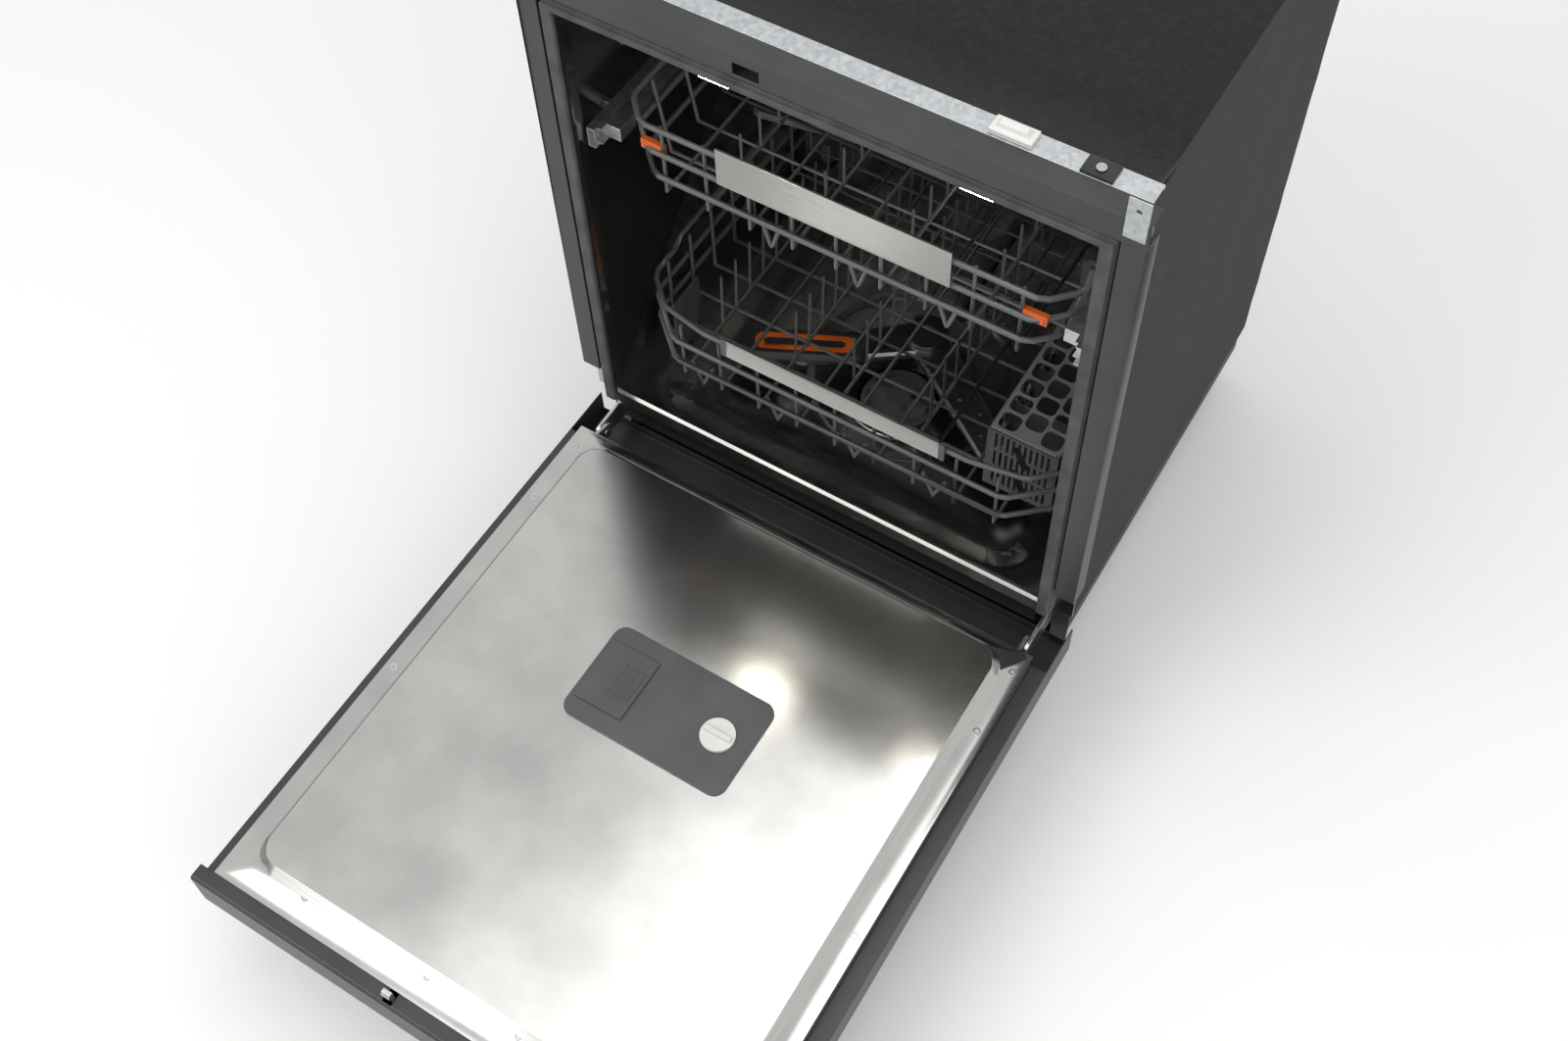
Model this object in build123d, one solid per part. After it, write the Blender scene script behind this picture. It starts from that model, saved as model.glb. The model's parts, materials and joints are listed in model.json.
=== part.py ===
from build123d import *
from math import cos, radians, tan
import os

# A built-in dishwasher of the 60 cm class, stored with its door open and its racks in.
# Millimetres. X runs across the front, +Y goes into the cabinet, +Z is up.
# While modelling, Y = 0 is the front face of the frame round the tub's mouth and Z = 0
# is the floor. At the end everything moves along Y, so that the origin lies under the
# middle of the whole machine.

# ---------------------------------------------------------------- driving dimensions
cabinet_width = 598.0
cabinet_height = 815.0
cabinet_depth = 548.0
sheet = 1.5                  # folded steel of the tub, the door and the frame
running_gap = 0.3            # between pieces that move past each other
touch_gap = 0.03             # between welded or resting pieces
pin_clearance = 0.05         # radial, round a hinge pin or a shaft

# tub
mouth_inset = 39.0           # from the machine's side to the mouth
tub_inset = 29.0             # from the machine's side to the tub's wall
mouth_bottom = 198.0
mouth_drop = 47.0            # from the machine's top to the mouth
ceiling_drop = 36.0          # from the machine's top to the tub's ceiling
tub_back_gap = 16.0          # behind the tub's back wall
back_thickness = 4.0
back_panel_margin = 80.0     # round the pressed panel of the back wall
back_panel_depth = 2.0
tub_flange_y = 16.0          # back of the groove that holds the gasket
tub_lip_y = 4.0              # front edge of the bright inner flange
lip_drop = 22.0
track_z = 202.0              # the ledges that the lower rack's wheels run on
basin_margin = 44.0          # width of the ledges
basin_front_margin = 10.0
basin_rear_margin = 8.0
basin_depth = 13.0
basin_slope = 22.0
basin_corner = 34.0
basin_floor_corner = 26.0
dish_radius = 122.0
dish_slope = 14.0
dish_y = 208.0
dish_depth = 9.0
well_radius = 46.0
well_y = 176.0
well_depth = 52.0
drain_radius = 30.0
lamp_length = 30.0
lamp_width = 8.0
lamp_thickness = 5.0
lamp_xs = (-100.0, 150.0)

# frame round the mouth
frame_face_width = 22.0
frame_depth = 24.0
column_bottom = 250.0
rail_height = 27.0
face_inset = 4.0             # from the machine's outline to the tub's face flange
strike_width = 26.0
strike_drop = 24.0           # from the machine's top to the foot of the strike slot
strike_height = 13.0
gasket_width = 12.0
gasket_bottom = 205.0
gasket_front_y = -2.6
gasket_lip_y = 3.0
gasket_round = 2.5
gasket_play = 1.5            # beside the gasket in its groove
gasket_top_play = 4.5
crossbar_depth = 22.0
crossbar_fold = 5.0
crossbar_inset = 10.0
bracket_width = 19.0
bracket_height = 43.0
bracket_inset = 12.0
bracket_foot = 9.0           # from the rail's lower edge to the bracket's
bracket_hole_rise = 13.0     # from the machine's top to the screw hole
bracket_hole_radius = 2.75

# base
base_bottom = 52.0
base_height = 46.0
base_front_y = 46.0
base_wall = 3.0
kick_y = 40.0
kick_bottom = 4.0
kick_flange = 14.0
foot_radius = 20.0
foot_pad = 9.0
foot_chamfer = 3.0
foot_stem_radius = 5.0
foot_stem_length = 66.0
foot_nut_radius = 9.0
foot_nut_height = 8.0
foot_boss_radius = 11.0
foot_boss_height = 22.0
foot_inset = 55.0
foot_front_y = 76.0
foot_rear_gap = 32.0         # from the tub's back wall to the rear foot
side_plate_bottom = 60.0
side_plate_y = 30.0
side_plate_inset = 10.0      # from the machine's side to the folded edge
sump_radius = 58.0
sump_height = 42.0
sump_boss_x = 60.0
duct_half_width = 16.0
duct_height = 38.0
pump_drop = 26.0             # from the well's floor to the pumps' axis
pump_neck_radius = 17.0
pump_neck_end = 92.0
pump_scroll_radius = 43.0
pump_scroll_end = 122.0
pump_motor_radius = 34.0
pump_motor_end = 196.0
drain_neck_radius = 11.0
drain_neck_end = 84.0
drain_motor_radius = 26.0
drain_motor_end = 140.0
hose_x = -200.0
hose_start_x = -112.0
hose_turn_y = 300.0
hose_bend = 30.0
hose_radius = 9.0

# felt round the tub
blanket_thickness = 10.0
blanket_bottom = 100.0
blanket_front_y = 34.0
top_blanket_front_y = 48.0
top_blanket_lift = 18.0
top_blanket_run = 70.0
top_blanket_edge = 3.0       # how much thinner the felt is at its front edge

# door, laid out as it is when open
hinge_y = -24.0
hinge_z = 169.0
door_closed_gap = 3.0        # between the frame's face and the liner when closed
door_thickness = 60.0
door_side_gap = 0.5
door_top_drop = 9.0          # from the machine's top to the door's, when closed
door_bottom_closed_z = 127.0
liner_inset = 18.0
liner_top_drop = 25.0
liner_bottom_closed_z = 186.0
liner_skirt = 12.0
field_inset = 46.0
field_rise = 12.0
field_slope = 9.0
field_corner = 24.0
field_foot_corner = 30.0
field_bottom_closed_z = 206.0
field_top_drop = 57.0
panel_flange = 42.0
heel_height = 12.0
console_wall = 3.0
console_drop = 2.0           # from the liner's border down to the console's top
console_round = 4.0
hinge_pin_radius = 5.0
hinge_lug_radius = 12.0
hinge_plate_thickness = 4.0
hinge_plate_gap = 1.0
hinge_arm_length = 130.0
hinge_arm_drop = 6.0
hinge_bracket_y = 150.0
hinge_bracket_rise = 16.0
hinge_bracket_drop = 26.0
hinge_bracket_front_y = 60.0
latch_x = -62.0
latch_width = 10.0
latch_depth = 34.0
latch_drop = 18.0            # from the machine's top to the hook, when closed
latch_rise = 14.0
latch_nose = 2.5
button_radius = 6.0
button_clearance = 0.25
button_drop = 28.0
button_length = 9.5
button_xs = (150.0, 190.0)
dispenser_width = 190.0
dispenser_length = 112.0
dispenser_depth = 21.5
dispenser_rise = 2.0
dispenser_play = 0.1
dispenser_closed_z = 430.0
dispenser_corner = 14.0
cup_x = -62.0
cup_width = 48.0
cup_length = 64.0
cup_depth = 16.0
cup_corner = 5.0
cup_lid_lap = 4.0
cup_lid_thickness = 2.0
cup_rib_pitch = 7.0
rinse_x = 58.0
rinse_plug_radius = 14.0
rinse_plug_depth = 13.0
rinse_rim_radius = 18.0
rinse_rim_height = 3.4
rinse_grip_length = 30.0
rinse_grip_width = 5.0
rinse_grip_height = 4.0

# racks
rim_radius = 3.0
wire_radius = 2.1
tine_radius = 1.7
tine_seat = 0.12             # under the foot of a tine
lower_inset = 51.0           # from the machine's side to the lower rack's rims
lower_front_y = 33.0
lower_rear_gap = 19.0        # from the tub's back wall to the lower rack
lower_top_z = 360.0
lower_front_z = 350.0
lower_middle_z = 320.0
lower_bottom_z = 287.0
lower_rear_z = 388.0
lower_floor_z = 262.0
lower_corner_x = 52.0
lower_corner_y = 46.0
lower_bend = 14.0
lower_floor_margin = 60.0    # from the rims to the outer floor wires
lower_cross_front = 65.0     # from the rack's front to its first cross wire
lower_cross_rear = 37.0
lower_cross_count = 10
lower_tine_front = 79.0      # from the rack's front to its first tine
lower_tine_rear = 65.0
lower_tine_count = 13
tine_height = 74.0
tine_lean = 4.0
fold_front = 67.0            # from the rack's front to the folding shafts
fold_rear = 53.0
front_v_half = 13.0
wheel_radius = 18.0
wheel_thickness = 9.0
wheel_inset = 56.0
wheel_front_y = 112.0
wheel_rear_margin = 75.0     # from the lower rack's rear to its rear wheels
axle_radius = 4.0
clip_thickness = 3.0
clip_half = 24.0
clip_foot = 9.0
lower_handle_half = 125.0
lower_handle_height = 26.0
cap_width = 6.0
upper_inset = 36.0           # from the tub's wall to the upper rack's top rim
upper_front_y = 36.0
upper_rear_gap = 32.0
upper_top_z = 635.0
upper_middle_z = 603.0
upper_bottom_z = 571.0
upper_floor_z = 546.0
upper_taper = 14.0           # how much narrower each side is at the floor
upper_corner = 26.0
upper_bend = 14.0
upper_floor_margin = 46.0
upper_cross_front = 52.0
upper_cross_rear = 28.0
upper_cross_count = 9
upper_tine_front = 64.0
upper_tine_rear = 60.0
upper_tine_count = 11
upper_tine_height = 46.0
lean_gap = 0.3               # beside a leaning wire, so that it only touches the rims
upper_handle_half = 122.0
upper_handle_height = 46.0
upper_handle_drop = 8.0
handle_thickness = 3.0
rail_z = 606.0
rail_inset = 11.5            # from the tub's wall to the fixed rail
rail_channel = 9.0
rail_lap = 3.5               # how far the middle rail stands out of the fixed one
rail_height_slide = 24.0
slide_wall = 1.5
rail_front_y = 18.0
rail_rear_gap = 12.0
middle_front_step = 6.0
middle_rear_step = 20.0
slide_front_step = 2.0
slide_rear_step = 4.0
stud_radius = 6.0
stud_margin = 45.0
shelf_width = 74.0
shelf_length = 220.0
shelf_thickness = 3.0
shelf_middle_y = 262.0
shelf_tube_radius = 4.0
shelf_tube_inset = 2.0
shelf_hole_width = 18.0
shelf_hole_length = 40.0
shelf_hole_pitch_x = 30.0
shelf_hole_pitch_y = 52.0

# cutlery basket
basket_width = 78.0
basket_front_margin = 41.0   # from the rack's front to the basket
basket_rear_margin = 13.0
basket_middle = 26.0         # the handle block between the two halves
basket_height = 94.0
basket_wall = 2.0
basket_pockets = 4
divider_drop = 12.0
basket_handle_rise = 58.0
basket_handle_foot = 40.0
basket_grip = 9.0
basket_grip_chamfer = 7.0
grip_step = 8.0              # from the basket's top to the grip's opening
slot_length = 36.0
slot_width = 9.0
slot_gap = 4.0
slot_pitch = 28.0
slot_turn = 24.0
lid_thickness = 3.0
lid_inset = 2.0
lid_hole = 15.0
lid_hole_length = 19.0
lid_rib = 6.0
lid_cross_rib = 5.0
lid_ear_height = 4.0

# spray arms and feed
arm_y = 240.0
arm_bottom_z = 216.0
arm_thickness = 10.0
arm_width = 46.0
arm_tip_width = 34.0
arm_reach = 212.0
arm_edge = 3.0
hub_radius = 24.0
hub_rise = 8.0
right_branch = -36.0
satellite_branch = 218.0
satellite_offset = 138.0
satellite_margin = 17.0
satellite_turn = 206.0
satellite_length = 142.0
satellite_width = 40.0
satellite_thickness = 10.0
satellite_edge = 4.0
satellite_pin_radius = 5.0
insert_length = 112.0
insert_width = 22.0
insert_floor = 6.0
insert_rise = 1.5
insert_play = 0.2
insert_jet_radius = 3.0
insert_jet_xs = (-44.0, -26.0, 26.0, 44.0)
jet_radius = 2.4
jet_depth = 2.0
jet_offset = 6.0
jet_count = 5
lower_jet_start = 70.0
lower_jet_pitch = 26.0
spindle_radius = 8.0
riser_radius = 13.0
upper_arm_y = 255.0
upper_arm_z = 512.0
upper_arm_reach = 205.0
upper_arm_width = 34.0
upper_arm_tip_width = 22.0
upper_arm_thickness = 7.0
upper_arm_turn = 12.0
upper_arm_drop = 8.0
upper_hub_radius = 20.0
upper_hub_height = 12.0
upper_jet_start = 64.0
upper_jet_pitch = 29.0
holder_radius = 14.0
holder_thickness = 3.7
feed_radius = 8.5
feed_lift = 21.0
feed_bend = 10.0
feed_neck_radius = 7.5
riser_pipe_radius = 6.8
riser_pipe_start = 70.0      # from the lower arm's hub to the pipe on the tub's floor
riser_pipe_slope_y = 49.0
riser_pipe_slope_z = 38.0
riser_pipe_top = 14.0
filter_radius = 42.0
filter_wall = 6.0
filter_recess = 6.0
filter_grip_length = 72.5
filter_grip_width = 9.0
filter_grip_height = 7.0
filter_hub_radius = 14.0
screen_radius = 78.0
screen_offset = 26.0
screen_thickness = 1.2

# ---------------------------------------------------------------- derived values
half_width = cabinet_width / 2
mouth_half_width = half_width - mouth_inset
mouth_top = cabinet_height - mouth_drop
tub_half_width = half_width - tub_inset
tub_ceiling = cabinet_height - ceiling_drop
tub_back_y = cabinet_depth - tub_back_gap
basin_half_width = tub_half_width - basin_margin
rail_bottom = cabinet_height - rail_height
frame_inner = half_width - frame_face_width
strike_z = cabinet_height - strike_drop
crossbar_rear_y = frame_depth + crossbar_depth
liner_z = hinge_z - hinge_y - door_closed_gap            # the border of the open door
field_z = liner_z + field_rise
outer_z = liner_z - door_thickness
door_half = half_width - door_side_gap
liner_half_width = half_width - liner_inset
field_half_width = half_width - field_inset
basin_z = track_z - basin_depth
dish_z = basin_z - dish_depth
well_z = dish_z - well_depth
pump_z = well_z - pump_drop
wall_outer_x = tub_half_width + sheet
roof_z = tub_ceiling + sheet
foot_x = half_width - foot_inset
foot_rear_y = tub_back_y - foot_rear_gap
foot_places = ((-foot_x, foot_front_y), (foot_x, foot_front_y), (0.0, foot_rear_y))

flat = cos(radians(30))      # from a six-sided wire's axis to its flat, over its radius
rim_half = rim_radius * flat
wire_half = wire_radius * flat
lower_half_width = half_width - lower_inset
lower_rear_y = tub_back_y - lower_rear_gap
lower_pitch = (lower_half_width - lower_floor_margin) / 4
lower_long_z = lower_floor_z + 2 * wire_half + touch_gap
fold_z = lower_floor_z + wire_half + wire_radius + running_gap
fold_left_x = -lower_pitch / 2
fold_right_x = 1.5 * lower_pitch
wheel_x = half_width - wheel_inset
wheel_rear_y = lower_rear_y - wheel_rear_margin
axle_z = field_z + running_gap + wheel_radius
clip_outer_x = wheel_x - wheel_thickness / 2 - 2
basket_floor_z = lower_long_z + wire_half + running_gap
basket_top_z = basket_floor_z + basket_height
basket_outer_x = clip_outer_x - clip_thickness - running_gap
basket_inner_x = basket_outer_x - basket_width
basket_front_y = lower_front_y + basket_front_margin
basket_rear_y = lower_rear_y - basket_rear_margin
basket_half_length = (basket_rear_y - basket_front_y - basket_middle) / 2
basket_starts = (basket_front_y, basket_front_y + basket_half_length + basket_middle)
lid_hinge_x = basket_outer_x - lid_inset
lid_hinge_z = basket_top_z + running_gap + lid_thickness / 2

upper_half_width = tub_half_width - upper_inset
upper_rear_y = tub_back_y - upper_rear_gap
upper_pitch = (upper_half_width - upper_floor_margin) / 4
upper_lean = upper_taper / (upper_top_z - upper_floor_z)
upper_inside = upper_half_width - rim_half - wire_half - lean_gap
feed_joint_y = upper_rear_y
feed_z = upper_arm_z + feed_lift
shelf_tube_x = upper_inside - shelf_tube_inset
shelf_tube_z = upper_top_z + shelf_tube_radius + running_gap
riser_pipe_y = tub_back_y - riser_pipe_radius - touch_gap


def open_y(closed_z):
    """The Y that a height on the closed door has when the door lies open."""
    return hinge_y - (closed_z - hinge_z)


door_end_y = open_y(cabinet_height - door_top_drop)
door_heel_y = open_y(door_bottom_closed_z)
liner_end_y = open_y(cabinet_height - liner_top_drop)
liner_heel_y = open_y(liner_bottom_closed_z)
dispenser_y = open_y(dispenser_closed_z)
origin_shift_y = -(door_end_y + cabinet_depth) / 2

pieces = {}


# ---------------------------------------------------------------- helpers
def block(x0, x1, y0, y1, z0, z1):
    """A rectangular block between two opposite corners."""
    return Pos((x0 + x1) / 2, (y0 + y1) / 2, (z0 + z1) / 2) * Box(x1 - x0, y1 - y0, z1 - z0)


def along_x(section, x0, x1):
    """A section drawn in Y and Z, carried from x0 to x1."""
    return extrude(Plane((x0, 0, 0), x_dir=(0, 1, 0), z_dir=(1, 0, 0)) * section, x1 - x0)


def along_y(section, y0, y1):
    """A section drawn in X and Z, carried from y0 to y1."""
    return extrude(Plane((0, y1, 0), x_dir=(1, 0, 0), z_dir=(0, -1, 0)) * section, y1 - y0)


def along_z(section, z0, z1):
    """A section drawn in X and Y, carried from z0 to z1."""
    return extrude(Pos(0, 0, z0) * section, z1 - z0)


def area(x0, x1, y0, y1):
    """A rectangle between two opposite corners."""
    return Pos((x0 + x1) / 2, (y0 + y1) / 2) * Rectangle(x1 - x0, y1 - y0)


def mirrored(shape):
    """The same shape on the other side of the machine."""
    return mirror(shape, about=Plane.YZ)


def rod(start, end, radius):
    """A straight round bar between two points."""
    start, end = Vector(*start), Vector(*end)
    return Solid.make_cylinder(radius, (end - start).length, Plane(start, z_dir=end - start))


def drum(x, y, z0, z1, radius):
    """An upright cylinder from z0 to z1."""
    return Pos(x, y, (z0 + z1) / 2) * Cylinder(radius, z1 - z0)


def bent(points, side, radius=wire_radius, sides=6, closed=False):
    """A bent wire: straight bars, mitred where they meet, each its own solid."""
    corners = [Vector(*point) for point in points]
    ends = corners[1:] + (corners[:1] if closed else [])
    ways = [(end - start).normalized() for start, end in zip(corners, ends)]
    bars = []
    for k, (start, end, way) in enumerate(zip(corners, ends, ways)):
        before = 2 * radius if closed or k > 0 else 0
        after = 2 * radius if closed or k < len(ways) - 1 else 0
        plane = Plane(start - way * before, x_dir=side, z_dir=way)
        bar = extrude(plane * RegularPolygon(radius, sides), (end - start).length + before + after)
        if before:
            bar = split(bar, Plane(start, z_dir=way + ways[k - 1]), keep=Keep.TOP)
        if after:
            mitre = Plane(end, z_dir=way + ways[(k + 1) % len(ways)])
            bar = split(bar, mitre, keep=Keep.BOTTOM)
        bars.append(bar)
    return bars


def rim(points, bends):
    """A closed loop of thick wire, each corner turned in two steps about its bend's radius."""
    corners = [Vector(*point) for point in points]
    loop = []
    for k, bend in enumerate(bends):
        corner, last, following = corners[k], corners[k - 1], corners[(k + 1) % len(corners)]
        back, ahead = (last - corner).normalized(), (following - corner).normalized()
        reach = bend * tan(radians(180 - back.get_angle(ahead)) / 2)
        loop += [corner + back * reach, corner + ahead * reach] if bend else [corner]
    return bent([tuple(point) for point in loop], (0, 0, 1), rim_radius, closed=True)


def tube(points, bend, side, radius):
    """A thick tube: one solid for each straight part and each arc of its path."""
    return [
        sweep(Plane(edge @ 0, x_dir=side, z_dir=edge % 0) * RegularPolygon(radius, 8), path=edge)
        for edge in FilletPolyline(*points, radius=bend).edges()
    ]


def lattice(count_x, count_y, pitch_x, pitch_y, opening, depth):
    """A centred grid of one opening's outline, to cut through a thin wall."""
    places = GridLocations(pitch_x, pitch_y, count_x, count_y)
    return extrude(Sketch() + [place * opening for place in places], depth / 2, both=True)


def spaced(first, last, count):
    """Evenly spaced places from the first to the last."""
    return [first + (last - first) * k / (count - 1) for k in range(count)]


def add(name, *shapes):
    """Keep shapes as one node of separate solids, moved to their place over the origin."""
    solids = [Pos(0, origin_shift_y, 0) * solid for shape in shapes for solid in shape.solids()]
    pieces[name] = solids[0] if len(solids) == 1 else Compound(solids)


# ---------------------------------------------------------------- tub
def floor_hollow(grow):
    """The room in the tub's floor, grown outwards by the thickness of its wall."""
    front, back = tub_flange_y + basin_front_margin, tub_back_y - basin_rear_margin
    middle, length = (front + back) / 2, back - front
    low = basin_z - grow
    low_half = basin_half_width - basin_slope
    top = RectangleRounded(2 * (basin_half_width + grow), length + 2 * grow, basin_corner)
    bottom = RectangleRounded(
        2 * (low_half + grow), length - 2 * basin_slope + 2 * grow, basin_floor_corner
    )
    basin = loft([Pos(0, middle, track_z) * top, Pos(0, middle, low) * bottom])
    dish = Pos(0, dish_y, low - dish_depth / 2) * Cone(
        dish_radius - dish_slope + grow, dish_radius + grow, dish_depth
    )
    return basin + dish + drum(0, well_y, well_z - grow, dish_z - grow, well_radius + grow)


def make_tub():
    """Floor pan, folded wrap, back wall and lamps."""
    ledge = block(-tub_half_width, tub_half_width, tub_flange_y, tub_back_y, track_z - sheet, track_z)
    lip_bottom = mouth_bottom - lip_drop
    lip = along_x(
        make_face(
            Polyline(
                (tub_lip_y, lip_bottom), (tub_lip_y, mouth_bottom),
                (tub_flange_y, mouth_bottom), (tub_flange_y, track_z - sheet),
                (tub_flange_y + sheet, track_z - sheet),
                (tub_flange_y + sheet, mouth_bottom - sheet),
                (tub_lip_y + sheet, mouth_bottom - sheet), (tub_lip_y + sheet, lip_bottom),
                close=True,
            )
        ),
        -mouth_half_width, mouth_half_width,
    )
    pan = ledge + lip + floor_hollow(sheet) - floor_hollow(0)
    pan -= drum(0, well_y, well_z - 2 * sheet, well_z + sheet, drain_radius)
    pan -= drum(0, arm_y, dish_z - 2 * sheet, dish_z + sheet, riser_radius + pin_clearance)
    add("tub_floor", pan)

    outside = area(-wall_outer_x, wall_outer_x, track_z - sheet, roof_z)
    inside = area(-tub_half_width, tub_half_width, track_z - sheet, tub_ceiling)
    mouth = area(-mouth_half_width, mouth_half_width, mouth_bottom, mouth_top)
    collar = area(
        -mouth_half_width - sheet, mouth_half_width + sheet, mouth_bottom, mouth_top + sheet
    )
    face = area(
        -half_width + face_inset, half_width - face_inset, mouth_bottom, cabinet_height - face_inset
    )
    wrap = along_y(outside - inside, tub_flange_y, tub_back_y)
    wrap += along_y(collar - mouth, tub_lip_y, tub_flange_y + sheet)
    wrap += along_y(face - mouth, tub_flange_y, tub_flange_y + sheet)
    wrap -= block(-tub_half_width, tub_half_width, tub_flange_y, tub_back_y, 0, track_z)
    add("tub_wrap", wrap)

    back = block(
        -wall_outer_x, wall_outer_x, tub_back_y, tub_back_y + back_thickness, track_z - sheet, roof_z
    )
    panel = Pos(0, (track_z + tub_ceiling) / 2) * Rectangle(
        2 * (tub_half_width - back_panel_margin), tub_ceiling - track_z - 2 * back_panel_margin
    )
    add("tub_back", back - along_y(panel, tub_back_y, tub_back_y + back_panel_depth))

    lens = Rectangle(lamp_length, lamp_width)
    lens = along_z(lens, mouth_top - lamp_thickness, mouth_top - touch_gap)
    lens_y = tub_lip_y + lamp_width / 2 + 3
    add("tub_lamps", *[Pos(x, lens_y) * lens for x in lamp_xs])


# ---------------------------------------------------------------- frame round the mouth
def make_frame():
    """Dark channel frame, rubber gasket, crossbar and worktop brackets."""
    column = Polyline(
        (frame_inner, tub_flange_y), (frame_inner, 0), (half_width, 0), (half_width, frame_depth),
        (half_width - sheet, frame_depth), (half_width - sheet, sheet),
        (frame_inner + sheet, sheet), (frame_inner + sheet, tub_flange_y), close=True,
    )
    column = along_z(make_face(column), column_bottom, rail_bottom)
    rail = Polyline(
        (tub_flange_y, rail_bottom), (0, rail_bottom), (0, cabinet_height),
        (frame_depth, cabinet_height), (frame_depth, cabinet_height - sheet),
        (sheet, cabinet_height - sheet), (sheet, rail_bottom + sheet),
        (tub_flange_y, rail_bottom + sheet), close=True,
    )
    rail = along_x(make_face(rail), -half_width, half_width)
    rail -= block(
        latch_x - strike_width / 2, latch_x + strike_width / 2, -sheet, 2 * sheet,
        strike_z, strike_z + strike_height,
    )
    add("front_frame", rail, column, mirrored(column))

    outer, top = frame_inner - gasket_play, rail_bottom - gasket_top_play
    core, under = outer - gasket_width, top - gasket_width
    back = area(-outer, outer, gasket_bottom, top) - area(-core, core, 0, under)
    bulb_outer, bulb_core = outer - gasket_round, core - gasket_round
    bulb = area(-bulb_outer, bulb_outer, gasket_bottom, top - gasket_round)
    bulb -= area(-bulb_core, bulb_core, 0, under + gasket_round)
    add(
        "door_gasket",
        along_y(back, gasket_lip_y, tub_flange_y) + along_y(bulb, gasket_front_y, gasket_lip_y),
    )

    bar_bottom, lip_z = rail_bottom + 4, cabinet_height - crossbar_fold
    bar = Polyline(
        (frame_depth, bar_bottom), (frame_depth, cabinet_height), (crossbar_rear_y, cabinet_height),
        (crossbar_rear_y, lip_z), (crossbar_rear_y - sheet, lip_z),
        (crossbar_rear_y - sheet, cabinet_height - sheet),
        (frame_depth + sheet, cabinet_height - sheet), (frame_depth + sheet, bar_bottom),
        close=True,
    )
    bar_half = half_width - crossbar_inset
    add("top_crossbar", along_x(make_face(bar), -bar_half, bar_half))

    x, foot = half_width - bracket_inset, rail_bottom + bracket_foot
    plate = area(x - bracket_width / 2, x + bracket_width / 2, foot, foot + bracket_height)
    plate -= Pos(x, cabinet_height + bracket_hole_rise) * Circle(bracket_hole_radius)
    bracket = along_y(plate, -sheet, 0)
    add("worktop_brackets", bracket, mirrored(bracket))


# ---------------------------------------------------------------- felt
def make_blankets():
    """Felt on both sides and over the roof, its front edge curling up to the crossbar."""
    side = block(
        wall_outer_x, wall_outer_x + blanket_thickness, blanket_front_y, tub_back_y + 2,
        blanket_bottom, roof_z,
    )
    low, high = roof_z, roof_z + blanket_thickness
    front, rear, bend_y = top_blanket_front_y, tub_back_y + 4, top_blanket_front_y + top_blanket_run
    under = TangentArc((bend_y, low), (front, low + top_blanket_lift), tangent=(-1, 0))
    over = TangentArc(
        (bend_y, high), (front, high + top_blanket_lift - top_blanket_edge), tangent=(-1, 0)
    )
    sheet_line = Polyline((bend_y, low), (rear, low), (rear, high), (bend_y, high))
    edge = Line(over @ 1, under @ 1)
    half = wall_outer_x + blanket_thickness
    roof = along_x(make_face(Curve() + [under, sheet_line, over, edge]), -half, half)
    add("felt_blankets", side, mirrored(side), roof)


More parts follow.
